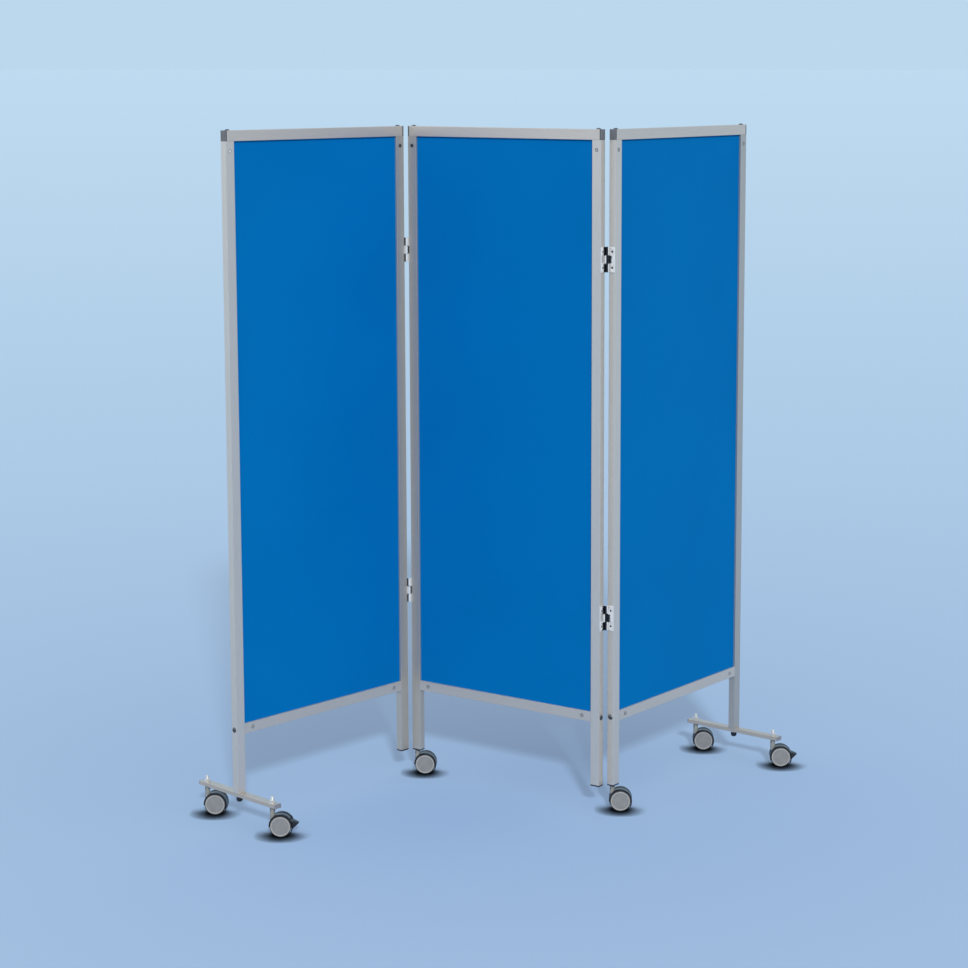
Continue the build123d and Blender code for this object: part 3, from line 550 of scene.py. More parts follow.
MATERIALS = {
    "panel": panel_blue(),
    "post": anodised("anodised_upright", GRAIN_UPRIGHT, ends=plug_gap_shade),
    # Painted shade: the same aluminium in darker tones, for the two uprights in the fold between the left and middle
    # leaves and for the right leaf's far upright
    "inner_post": anodised("anodised_inner_upright", GRAIN_UPRIGHT, (0.82, 0.82, 0.80), plug_gap_shade),
    "end_post": anodised("anodised_end_upright", GRAIN_UPRIGHT, (0.72, 0.74, 0.76)),
    "rail": anodised("anodised_level", GRAIN_LEVEL, RAIL_TONE),
    "foot": anodised("anodised_foot", GRAIN_LEVEL, (0.86, 0.81, 0.76)),
    "cap": grained_plastic("cap_dark_grey", (98, 102, 110), (108, 112, 120), 0.5),
    "plug": grained_plastic("plug_black", (24, 28, 34), (32, 36, 42), 0.55, 0.25),
    "bolt": plated("bolt_dark_steel", (0.10, 0.105, 0.115, 1), (0.15, 0.155, 0.165, 1), 0.38),
    "nut": plated("barrel_nut_steel", (0.40, 0.41, 0.43, 1), (0.48, 0.49, 0.51, 1), 0.4, 0.6),
    "zinc": plated("zinc_plate", (0.66, 0.67, 0.67, 1), (0.76, 0.77, 0.76, 1), 0.34, 0.75),
    "chrome": plated("hinge_chrome", (0.74, 0.76, 0.80, 1), (0.80, 0.82, 0.85, 1), 0.12),
    "bright": plated("screw_nickel", (0.84, 0.85, 0.86, 1), (0.90, 0.90, 0.91, 1), 0.3, 0.5),
    # Painted shadow: black put into the cross recesses of the hinge screws
    "shadow": grained_plastic("screw_recess_black", (14, 16, 20), (22, 24, 28), 0.6, 0.2),
    "collar": plated("collar_matt_zinc", (0.26, 0.28, 0.28, 1), (0.32, 0.34, 0.34, 1), 0.5, 0.25),
    "hood_band": grained_plastic("hood_grey_band", (62, 72, 84), (70, 80, 92), 0.3, 0.6),
    "foot_cap": grained_plastic("foot_cap_grey", (118, 124, 138), (126, 132, 146), 0.5),
    "hood": gloss_black(),
    "disc": grained_plastic("wheel_disc_grey", (122, 126, 132), (130, 134, 140), 0.55, 0.25),
    "ring": grained_plastic("wheel_ring_light_grey", (152, 156, 158), (160, 164, 166), 0.5, 0.25),
    "tyre": grained_plastic("wheel_tyre_grey", (70, 74, 80), (80, 84, 90), 0.6),
    "pedal": grained_plastic("pedal_black", (26, 30, 38), (32, 36, 44), 0.34),
    "dome": grained_plastic("foot_dome_black", (18, 26, 36), (24, 32, 42), 0.30),
}


# Places

JOINTS = {joint["name"]: joint for joint in frame["joints"]}
PINS = {name: np.array(JOINTS[name]["pos_m"][:2]) for name in ("left_fold", "right_fold")}
PIN_IN_LEAF = {
    "left": ("left_fold", (LEAF_WIDTH + HINGE_HALF_GAP, -HINGE_FACE_OFFSET)),
    "middle": ("left_fold", (-HINGE_HALF_GAP, -HINGE_FACE_OFFSET)),
    "right": ("right_fold", (-HINGE_HALF_GAP, PROFILE_DEPTH + HINGE_FACE_OFFSET)),
}


def leaf_axes(leaf):
    """A leaf's directions, across, to the back and up, as rows."""
    yaw = math.radians(YAWS[leaf])
    return np.array([[math.cos(yaw), math.sin(yaw), 0], [-math.sin(yaw), math.cos(yaw), 0], [0, 0, 1]])


def leaf_point(leaf, x, y, z):
    """A point given across and through a leaf: its pin's place, and on from there by the leaf's directions."""
    pin, (px, py) = PIN_IN_LEAF[leaf]
    flat = PINS[pin] + (np.array([x - px, y - py, 0]) @ leaf_axes(leaf))[:2]
    return np.array([flat[0], flat[1], z])


def facing(outwards, upwards):
    """Axes whose third row is the way out of a surface, for pieces drawn along +Z."""
    return np.stack([np.cross(upwards, outwards), upwards, outwards])


def swivel_at(castor):
    """Where a castor's swivel axis meets the floor."""
    x, y, _ = JOINTS[f"{castor}_swivel"]["pos_m"]
    return np.array([x, y, 0])


def axle_at(castor):
    """The middle of a castor's axle."""
    return swivel_at(castor) + (TRAIL, 0, WHEEL_RADIUS)


# Frame fasteners

def frame_bolts(leaf):
    """The bolts of one leaf: two down through the top rail, two in through the posts' outer sides."""
    shape = Shape()
    across, back, up = leaf_axes(leaf)
    top = socket_head(HEAD_RADIUS, HEAD_HEIGHT, BOLT_RADIUS, TOP_BOLT_END - TOTAL_HEIGHT)
    for x in POST_MIDS:
        shape.add(turned(top, facing(up, back), leaf_point(leaf, x, MID_DEPTH, TOTAL_HEIGHT)), around=True)
    side = socket_head(HEAD_RADIUS, HEAD_HEIGHT, BOLT_RADIUS, -SIDE_BOLT_REACH)
    for x, way in ((0.0, -across), (LEAF_WIDTH, across)):
        shape.add(turned(side, facing(way, up), leaf_point(leaf, x, MID_DEPTH, RAIL_MID_Z)), around=True)
    shape.piece(f"{leaf}_frame_bolts", ["bolt"], f"{leaf}_leaf", "fastener_steel", [f"{leaf}_leaf_frame_bolts"])


def foot_dome(side):
    """The dark domed bolt under a foot bar: a ball's cap with a hexagon socket, on its shank and a washer."""
    x = POST_MIDS[side == "right"]
    _, back, up = leaf_axes(side)
    thickness = WASHER_THICKNESS
    ring = FOOT_BOTTOM - thickness
    head = socket_head(FOOT_DOME_RADIUS, FOOT_DOME_HEIGHT - thickness, BOLT_RADIUS, ring - FOOT_BOLT_END)
    shape = Shape().add(turned(head, facing(-up, back), leaf_point(side, x, MID_DEPTH, ring)), around=True)
    edge = 0.3 * MM
    washer = lathe([(BOLT_RADIUS, 0), (FOOT_WASHER_RADIUS - edge, 0), (FOOT_WASHER_RADIUS, -edge),
                    (FOOT_WASHER_RADIUS, edge - thickness), (FOOT_WASHER_RADIUS - edge, -thickness),
                    (BOLT_RADIUS, -thickness)])
    shape.add(washer + leaf_point(side, x, MID_DEPTH, FOOT_BOTTOM), 1, around=True, along=True)
    shape.piece(f"{side}_foot_dome", ["dome", "zinc"], f"{side}_leaf", "cap_grey")


def hinge_screws(leaf):
    """Cross-head screws in a leaf's hinge plates. HINGED_SIDES lists (right post?, pin in front?)."""
    shape = Shape()
    across, _, up = leaf_axes(leaf)
    screw = cross_head(SCREW_HEAD_RADIUS, HINGE_THICKNESS, SCREW_RADIUS, SCREW_LENGTH + HINGE_THICKNESS)
    # The recess rows take the painted shadow
    recess = (np.arange(len(screw) - 1) < RECESS_ROWS)[:, None].astype(int)
    for right, front in HINGED_SIDES[leaf]:
        way = across if right else -across
        depth = SCREW_INSET if front else PROFILE_DEPTH - SCREW_INSET
        x = LEAF_WIDTH + HINGE_THICKNESS if right else -HINGE_THICKNESS
        for centre in HINGE_CENTRES:
            for z in (centre - SCREW_SPACING / 2, centre + SCREW_SPACING / 2):
                shape.add(turned(screw, facing(way, up), leaf_point(leaf, x, depth, z)), recess, around=True)
    shape.piece(f"{leaf}_hinge_cross_screws", ["bright", "shadow"], f"{leaf}_leaf", "hinge_chrome",
                [f"{leaf}_hinge_screws"])


def barrel_nuts(leaf):
    """The slotted ends of a leaf's barrel nuts, on their cylinders: rings about Y whose face drops by the slot's
    depth where |z| is under half its width."""
    shape = Shape()
    _, back, up = leaf_axes(leaf)
    x, y = face_rings(BARREL_RADIUS, 0.06, 0.93, 15)
    inside = np.clip((SLOT_HALF_WIDTH - abs(y)) / (0.2 * MM), 0, 1)
    face = np.stack([x, y, BARREL_PROUD - SLOT_DEPTH * inside], axis=-1)
    side = lathe([(BARREL_RADIUS, BARREL_PROUD - BARREL_EDGE), (BARREL_RADIUS, -BARREL_LENGTH),
                  (POLE, -BARREL_LENGTH)], FACE_SEGMENTS)
    nut = np.concatenate([face, side])
    inside = (np.arange(len(nut) - 1) < NUT_FACE_ROWS)[:, None]
    for x, z in [(x, TOP_BARREL_Z) for x in POST_MIDS] + [(x, RAIL_MID_Z) for x in SIDE_BARREL_PLACES]:
        # Top nuts take their painted highlight or painted shade here; the rest are plain nut steel
        end = PAINTED_NUT_LIGHT.get((leaf, x > LEAF_WIDTH / 2), 2) if z == TOP_BARREL_Z else 2
        shape.add(turned(nut, facing(-back, up), leaf_point(leaf, x, 0, z)), np.where(inside, end, 1), around=True)
    shape.piece(f"{leaf}_slotted_barrel_nuts", ["bright", "bolt", "nut"], f"{leaf}_leaf", "fastener_steel",
                [f"{leaf}_leaf_barrel_nuts"])


def softened_copy(leaf, part, name, materials, edge, chosen=None):
    """A leaf's node with its edges softened: doubles merged, flat faces joined, sharp edges bevelled. chosen turns
    the faces' middles into the numbers of their materials."""
    node = f"{leaf}_{part}"
    mesh = frame["nodes"][node].data.copy()
    mesh.name = f"{leaf}_{name}"
    mesh.materials.clear()
    for material in materials:
        mesh.materials.append(material)
    work = bmesh.new()
    work.from_mesh(mesh)
    bmesh.ops.remove_doubles(work, verts=work.verts, dist=DOUBLES)
    bmesh.ops.dissolve_limit(work, angle_limit=math.radians(FLAT_ANGLE), verts=work.verts, edges=work.edges)
    work.to_mesh(mesh)
    work.free()
    numbers = np.zeros(len(mesh.polygons), np.int32)
    if chosen:
        middles = np.zeros(len(mesh.polygons) * 3)
        mesh.polygons.foreach_get("center", middles)
        numbers = chosen(middles.reshape(-1, 3)).astype(np.int32)
    mesh.polygons.foreach_set("material_index", numbers)
    mesh.shade_smooth()
    mesh.set_sharp_from_angle(angle=math.radians(SHARP_ANGLE))
    made = placed(mesh.name, mesh)
    bevel = made.modifiers.new("edge", "BEVEL")
    bevel.width = edge
    bevel.segments = 2
    bevel.limit_method = "ANGLE"
    bevel.angle_limit = math.radians(BEVEL_ANGLE)
    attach(made, f"{leaf}_leaf")
    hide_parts(node)


def nearest_pin(points):
    """0 for points nearer to the left joint's pin, 1 for those nearer to the right joint's."""
    left, right = (np.linalg.norm(points[:, :2] - pin, axis=1) for pin in PINS.values())
    return right < left


def hinge_chrome(leaf, right):
    """Polished chrome of one hinge plate, with painted shade and painted dark reflection in its colour: it goes dark
    in the thirds of its height where the other plate's knuckles are, and on its own knuckles' far side, within reach
    of the pin."""
    finish = Finish(f"{leaf}_{'right' if right else 'left'}_hinge_chrome", CHROME, 0.2, metallic=0.55)
    pin = PINS["left_fold" if (leaf, right) in {("left", True), ("middle", False)} else "right_fold"]
    away = leaf_axes(leaf)[0] * (1 if right else -1)
    up = finish.place_along((0, 0, 1), 0)
    heights = (finish.sums("ABSOLUTE", finish.sums("SUBTRACT", up, z)) for z in HINGE_CENTRES)
    wave = finish.spread(finish.noise(210.0, 1.0), -WAVER, WAVER, *NOISE_SPAN)
    outer = finish.spread(finish.sums("ADD", finish.sums("MINIMUM", *heights), wave), 0, 1, *KNUCKLE_EDGE)
    own = finish.sums("SUBTRACT", 1.0, outer) if right else outer
    offs = (finish.place_along((1, 0, 0), pin[0]), finish.place_along((0, 1, 0), pin[1]))
    squares = (finish.sums("MULTIPLY", off, off) for off in offs)
    reach = finish.sums("SQRT", finish.sums("ADD", *squares))
    far_side = finish.spread(finish.place_along(away, pin @ away[:2]), 0, 1, *FAR_SIDE_EDGE)
    near_pin = finish.spread(finish.sums("ADD", reach, wave), 1, 0, *KNUCKLE_REACH)
    other = finish.sums("SUBTRACT", 1.0, own)
    # Where the painted shade and reflection go: the other plate's thirds, and the far side of this plate's own
    # knuckles
    painted_dark = finish.sums("ADD", finish.sums("MULTIPLY", own, far_side), other)
    finish.colours(finish.sums("MULTIPLY", painted_dark, near_pin), CHROME, CHROME_PAINTED_DARK)
    finish.roughness(finish.noise(500.0), 0.14, 0.26)
    finish.bump(finish.noise(900.0, 3.0), 0.00002, 0.4)
    return finish.material


# Castors

def tread_and_disc():
    """One wheel's profile as (radius, out from the middle), in bands with a material each: the disc with a
    shallow crown, the raised ring round it, the tyre with round shoulders, then the hollow inner side."""
    face = WHEEL_FACE
    low = face - GROOVE_DROP
    disc = [(POLE, face + 0.25 * MM), (0.006, face + 0.2 * MM), (0.013, face + 0.05 * MM), (DISC_RADIUS, face),
            (DISC_RADIUS + 0.3 * MM, low), (RING_FIRST, low)]
    first, last = ((radius, face - 0.2 * MM) for radius in RING_CENTRES)
    ring = [(RING_FIRST, low), *arc(first, RING_EDGE, 170, 90), *arc(last, RING_EDGE, 90, 10),
            (RING_LAST, face - 0.5 * MM)]
    top = WHEEL_RADIUS - SHOULDER
    side = WHEEL_OUTER - SHOULDER_DROP
    tyre = [(RING_LAST, face - 0.5 * MM), (top, side), *arc((top, side - SHOULDER), SHOULDER, 80, 0),
            *zip((WHEEL_RADIUS, WHEEL_RADIUS - GROOVE_DEPTH, WHEEL_RADIUS), TREAD_GROOVE),
            *arc((top, WHEEL_INNER + SHOULDER), SHOULDER, 0, -90), (RIM_INSIDE, WHEEL_INNER)]
    hollow = [(RIM_INSIDE, WHEEL_INNER), (RIM_INSIDE, HOLLOW_DEPTH), (HUB_RADIUS, HOLLOW_DEPTH),
              (HUB_RADIUS, HUB_FACE), (AXLE_HOLE, HUB_FACE), (AXLE_HOLE, HOLLOW_DEPTH), (POLE, HOLLOW_DEPTH)]
    return [disc, ring, tyre, hollow]


def wheel_ribs(shape):
    """Thin ribs inside the wheel's hollow, from hub to rim: flat plates at even turns."""
    first, last = RIB_RADII
    half = RIB_HALF_WIDTH
    inner, outer = ((0, y, 0) for y in RIB_DEPTHS)
    for turn in circle(RIBS):
        radial = np.array([math.cos(turn), 0, math.sin(turn)])
        side = np.array([-math.sin(turn), 0, math.cos(turn)])
        corners = ((first, -half), (last, -half), (last, half), (first, half))
        loop = np.array([radial * a + side * b for a, b in corners])
        fan = loop * FAN_SHARE + loop.mean(axis=0) * (1 - FAN_SHARE)
        shape.add(np.stack([fan + inner, loop + inner, loop + outer, fan + outer]), around=True)


def wheel(castor, side):
    """A wheel: its profile turned about Y at the axle, mirrored for the near side."""
    shape = Shape()
    for band, material in zip(tread_and_disc(), (0, 1, 2, 0)):
        shape.add(lathe(band, 72)[..., [0, 2, 1]], material, around=True)
    wheel_ribs(shape)
    mirror = np.diag([1, -1 if side == "near" else 1, 1])
    shape.points = [turned(points, mirror, axle_at(castor)) for points in shape.points]
    node = f"{castor}_castor_{side}_wheel"
    shape.piece(f"{castor}_{side}_rolling_wheel", ["disc", "ring", "tyre"], node, "wheel_grey", [node])


def hood_section(half_width, rims=True):
    """The hood's section as (y, r) round a loop: level inside; outside either one flat top with round edges, or two
    rims, r = outer - drop (1 - sqrt(1 - u^2)) with u from a rim's middle, beside a lower, slightly hollow band."""
    y = half_width * np.sin(np.linspace(-np.pi / 2, np.pi / 2, 61))
    t = abs(y) / half_width
    if rims:
        u, drop = np.clip((t - 1 + RIM_SHARE) / RIM_SHARE, -1, 1), RIM_DROP
    else:
        u, drop = np.clip((t - CHEEK_FLAT) / CHEEK_ROUND, 0, 1), CHEEK_DROP
    top = HOOD_OUTER - drop * (1 - np.sqrt(1 - u**2))
    return np.concatenate([y, y[::-1]]), np.concatenate([top, np.full(len(y), HOOD_INNER)])


def hood_band(first, last, half_width, rims=True):
    """The hood: its section bent about the axle from one angle to another. Both ends close in to the section's
    middle over a few degrees, and the low end flares outwards by flare (1 - s)^2 over its last part."""
    y, r = hood_section(half_width, rims)
    t = np.radians(np.linspace(first, last, 64))[:, None]
    degrees = np.degrees(t)
    near = np.clip(np.minimum(degrees - first, last - degrees) / HOOD_END, 0, 1)
    close = np.maximum(np.sqrt(1 - (1 - near) ** 2), 1e-4)
    middle = (HOOD_INNER + HOOD_OUTER - RIM_DROP) / 2
    flare = TAIL_FLARE * np.clip((TAIL_START - degrees) / (TAIL_START - HOOD_FIRST), 0, 1) ** 2
    r = middle + (r - middle) * close + flare
    width = y * (1 - 0.06 * (1 - close))
    return np.stack([r * np.cos(t), width + 0 * r, r * np.sin(t)], axis=-1)


def band_columns():
    """Material numbers for the hood's columns of faces: 2 on the lower band between the rims, 0 elsewhere."""
    y, _ = hood_section(HOOD_HALF_WIDTH)
    outside = np.arange(len(y)) < len(y) // 2
    return np.where(outside & (abs(y) < (BAND_EDGE - 2 * RIM_SHARE) * HOOD_HALF_WIDTH), 2, 0)


def web_outline(brake):
    """The plate between the wheels: a circle about the axle, cut level above the floor, and cut back to the
    wheels where a brake pedal moves."""
    t = np.radians(np.arange(0, 360, 5.0))
    r = np.full(len(t), HOOD_INNER + 0.4 * MM)
    floor = WHEEL_RADIUS - WEB_FLOOR_GAP
    below = np.sin(t) < 0
    r[below] = np.minimum(r[below], floor / np.maximum(-np.sin(t[below]), 1e-6))
    outline = np.stack([r * np.cos(t), r * np.sin(t)], axis=1)
    if brake:
        angle = np.degrees(np.arctan2(outline[:, 1], outline[:, 0]))
        notch = (angle > WEB_NOTCH[0]) & (angle < WEB_NOTCH[1])
        outline[notch] *= (WHEEL_RADIUS - 0.5 * MM) / np.linalg.norm(outline[notch], axis=1, keepdims=True)
    return outline


def housing(castor, brake):
    """A castor's black housing: hood, web between the wheels, stem boss and axle."""
    shape = Shape()
    axle = axle_at(castor)
    hood = hood_band(BRAKED_HOOD_FIRST if brake else HOOD_FIRST, HOOD_LAST, HOOD_HALF_WIDTH)
    shape.add(hood + axle, band_columns(), around=True)
    if brake:
        cheek = (HOOD_HALF_WIDTH - PEDAL_HALF_WIDTH - CHEEK_GAP) / 2
        for way in (-1, 1):
            strip = hood_band(HOOD_FIRST, CHEEK_LAST, cheek, rims=False)
            strip[..., 1] += way * (HOOD_HALF_WIDTH - cheek)
            shape.add(strip + axle, around=True)
    shape.add(slab(web_outline(brake), WEB_HALF, 0.8 * MM) + axle, around=True)
    shape.add(lathe(BOSS) + swivel_at(castor), around=True)
    pin = lathe([(POLE, -AXLE_HALF), (AXLE_RADIUS, -AXLE_HALF), (AXLE_RADIUS, AXLE_HALF), (POLE, AXLE_HALF)], 24)
    shape.add(pin[..., [0, 2, 1]] + axle, 1, around=True)
    shape.piece(f"{castor}_hood", ["hood", "zinc", "hood_band"], f"{castor}_castor_swivel", "hood_black",
                [f"{castor}_castor_housing"])


def castor_stems(leaf):
    """The stems of one leaf's castors: pivot, round collar with a groove, and a threaded stud."""
    shape = Shape()
    for castor, on_foot in CASTORS[leaf]:
        at = swivel_at(castor)
        top = FOOT_BOTTOM if on_foot else POST_END
        wide, narrow = COLLAR_RADIUS, COLLAR_RADIUS - COLLAR_GROOVE
        collar = [(POLE, STEM_END), (STUD_RADIUS, STEM_END), (STUD_RADIUS, SEAT_HEIGHT),
                  (wide - COLLAR_BEVEL, SEAT_HEIGHT), (wide, SEAT_HEIGHT + COLLAR_BEVEL), (wide, top - 3.2 * MM),
                  (narrow, top - 3.0 * MM), (narrow, top - 2.4 * MM), (wide, top - 2.2 * MM),
                  (wide, top - COLLAR_BEVEL), (wide - COLLAR_BEVEL, top), (STUD_RADIUS - 0.1 * MM, top)]
        groove = np.isin(np.arange(len(collar) - 1), GROOVE_ROWS)[:, None]
        shape.add(lathe(collar) + at, np.where(groove, 2, 1), around=True)
        set_screw = socket_head(1.5 * MM, 0.3 * MM, 1.0 * MM, -3 * MM)
        out = np.array([math.sin(SET_SCREW_TURN), -math.cos(SET_SCREW_TURN), 0])
        hole = at + (0, 0, top - SET_SCREW_DROP) + out * COLLAR_RADIUS
        shape.add(turned(set_screw, facing(out, (0, 0, 1)), hole), 2, around=True)
        stud_top = STUD_TOP if on_foot else POST_END + POST_STUD_LENGTH
        shape.add(threaded(STUD_RADIUS - STUD_CLEARANCE, top, stud_top - 0.2 * MM) + at, around=True)
    shape.piece(f"{leaf}_castor_threaded_stems", ["zinc", "collar", "bolt"], f"{leaf}_leaf", "stem_steel",
                [f"{leaf}_castor_stems"])


def foot_nuts(side):
    """A washer and a hexagon nut on each stud: r = the hexagon's side, cut by a cone at the nut's ends."""
    shape = Shape()
    segments = 72
    t = circle(segments)
    base = FOOT_TOP + WASHER_THICKNESS
    top = FOOT_TOP + NUT_HEIGHT
    z = np.linspace(base, top, 12)[:, None]
    cone = NUT_FLATS / 2 * NUT_CONE + NUT_CONE_SLOPE * np.minimum(z - base, top - z)
    wall = ring_points(np.minimum(hexagon_radius(t, NUT_FLATS)[None], cone), t, z)
    bore = STUD_RADIUS + STUD_CLEARANCE
    closing = lathe([(bore + 0.5 * MM, top), (bore, top - 0.5 * MM), (bore, base)], segments)
    washer = lathe([(bore, FOOT_TOP), (WASHER_RADIUS - 0.2 * MM, FOOT_TOP), (WASHER_RADIUS, FOOT_TOP + 0.2 * MM),
                    (WASHER_RADIUS, base - 0.3 * MM), (WASHER_RADIUS - 0.3 * MM, base), (bore, base)])
    for end in ("rear", "front"):
        for ring in (np.concatenate([wall, closing]), washer):
            shape.add(ring + swivel_at(f"{side}_{end}"), around=True, along=True)
    shape.piece(f"{side}_foot_nuts_and_washers", ["zinc"], f"{side}_leaf", "fastener_steel", [f"{side}_foot_nuts"])


def brake_pedal(side):
    """A brake pedal: a wedge whose inner side follows the wheel, lower down a little further off so that it can
    press, with rounded edges and grip ribs."""
    shape = Shape()
    axle = axle_at(f"{side}_front")
    turn = np.linspace(PEDAL_FIRST, PEDAL_LAST, PEDAL_STEPS)
    leaves_wheel = 1 + LEAVES_SHARE * np.clip((LEAVES_BELOW - turn) / (LEAVES_BELOW - PEDAL_FIRST), 0, 1)
    inner = arc((0, 0), PEDAL_INNER, PEDAL_FIRST, PEDAL_LAST, PEDAL_STEPS) * leaves_wheel[:, None]
    tip = arc(PEDAL_TIP, PEDAL_TIP_RADIUS, 75, -60)
    top = np.linspace(inner[-1], tip[0], 8)[1:-1]
    bottom = np.linspace(tip[-1], inner[0], 8)[1:-1]
    wedge = slab(np.concatenate([inner, top, tip, bottom]), PEDAL_HALF_WIDTH, 1.2 * MM)
    wedge[..., 1] *= 1 - PEDAL_TAPER * np.clip((wedge[..., 0] - TAPER_START) / TAPER_REACH, 0, 1)
    shape.add(wedge + axle, around=True)
    slope = tip[0] - inner[-1]
    along = slope / np.linalg.norm(slope)
    out = np.array([-along[1], along[0]])
    for share in GRIP_SHARES:
        centre = inner[-1] + slope * share
        rib = np.array([centre + along * 0.7 * MM * math.cos(a) + out * 0.5 * MM * math.sin(a)
                        for a in np.arange(12) * np.pi / 6])
        half_width = (PEDAL_HALF_WIDTH - GRIP_INSET) * (1 - PEDAL_TAPER * share)
        shape.add(slab(rib, half_width, 0.25 * MM, 3) + axle, around=True)
    arm = arc(PEDAL_ARM, PEDAL_ARM_RADIUS, 0, 330, 12)
    shape.add(slab(arm, PEDAL_ARM_HALF_WIDTH, 0.4 * MM, 3) + axle, around=True)
    node = f"{side}_front_brake_pedal"
    shape.piece(f"{side}_brake_lever", ["pedal"], node, "pedal_black", [node])


# Object

CASTORS = {
    "left": (("left_rear", True), ("left_front", True)),
    "middle": (("middle", False),),
    "right": (("right_inner", False), ("right_rear", True), ("right_front", True)),
}
HINGED_SIDES = {"left": ((True, True),), "middle": ((False, True), (True, False)), "right": ((False, False),)}
NODE_MATERIALS = (
    ("_panel", "panel"), ("left_leaf_right_post", "inner_post"), ("middle_leaf_left_post", "inner_post"),
    ("right_leaf_right_post", "end_post"), ("_post", "post"), ("_rail", "rail"), ("_foot_bar", "foot"),
    ("_caps", "cap"), ("hinge", "chrome"), ("_housing", "hood"), ("_wheel", "disc"), ("_pedal", "pedal"),
    ("", "zinc"),
)


def capped_rail(leaf):
    """Aluminium of a leaf's top rail, dark on its last two millimetres by its end caps."""
    across = leaf_axes(leaf)[0]
    middle = leaf_point(leaf, LEAF_WIDTH / 2, 0, 0) @ across

    def ends(finish):
        off = finish.sums("ABSOLUTE", finish.place_along(across, middle))
        return finish.spread(off, 0, 1, *(LEAF_WIDTH / 2 - edge for edge in CAP_EDGE))

    return anodised(f"{leaf}_anodised_top", GRAIN_LEVEL, RAIL_TONE, ends)


def dress_nodes():
    """Gives every node the material of the first name part that fits."""
    for name, node in frame["nodes"].items():
        material = next(material for part, material in NODE_MATERIALS if part in name)
        node.data.materials.clear()
        node.data.materials.append(MATERIALS[material])
    for leaf in YAWS:
        frame["nodes"][f"{leaf}_leaf_top_rail"].data.materials[0] = capped_rail(leaf)


def build_object():
    """All pieces of the screen."""
    dress_nodes()
    for leaf in YAWS:
        frame_bolts(leaf)
        hinge_screws(leaf)
        barrel_nuts(leaf)
        softened_copy(leaf, "hinge_plates", "hinge_leaves",
                      [hinge_chrome(leaf, right) for right, _ in HINGED_SIDES[leaf]], PLATE_EDGE,
                      nearest_pin if leaf == "middle" else None)
        softened_copy(leaf, "leaf_end_caps", "soft_caps", [MATERIALS["cap"], MATERIALS["plug"]],
                      CAP_ROUND, lambda middles: middles[:, 2] < 1.0)
        castor_stems(leaf)
        for castor, _ in CASTORS[leaf]:
            housing(castor, castor.endswith("_front"))
            for side in ("near", "far"):
                wheel(castor, side)
    for side in ("left", "right"):
        softened_copy(side, "foot_caps", "foot_end_caps", [MATERIALS["foot_cap"]], CAP_ROUND)
        foot_dome(side)
        foot_nuts(side)
        brake_pedal(side)


# Floor, light and camera

NEAR_BLUE = linear(152, 181, 217)
FAR_BLUE = linear(188, 216, 237)
FLOOR_RADII = (1e-6, 1.5, 4.0, 12.0, 40.0, 200.0, 2500.0)
FLOOR_LIGHT = 0.98
FLOOR_OWN_SHARE = 0.28
FLOOR_BOUNCE = (0.42, 0.42, 0.42, 1)
SHADOW_TINT = (1.15, 1.0, 0.86)
# The floor's painted contact shadow: the reach, steepness, leaning normal and samples of its occlusion
CONTACT_REACH = 0.044
CONTACT_POWER = 5.0
CONTACT_LEAN = (0.20, 0.72, 0.66)
CONTACT_SAMPLES = 16
GRADIENT_REACH = 5.5
WORLD_STRENGTH = 0.68
STUDIO = ((0.0, (0.05, 0.05, 0.055, 1)), (0.08, (0.08, 0.08, 0.085, 1)), (0.17, (0.80, 0.80, 0.80, 1)),
          (0.5, (0.86, 0.87, 0.88, 1)), (0.78, FAR_BLUE))
STUDIO_SIDES = (1.3, 0.8)
SUN_STRENGTH = 2.15
SUN_AZIMUTH = 10
SUN_ELEVATION = 30
SUN_ANGLE = 6


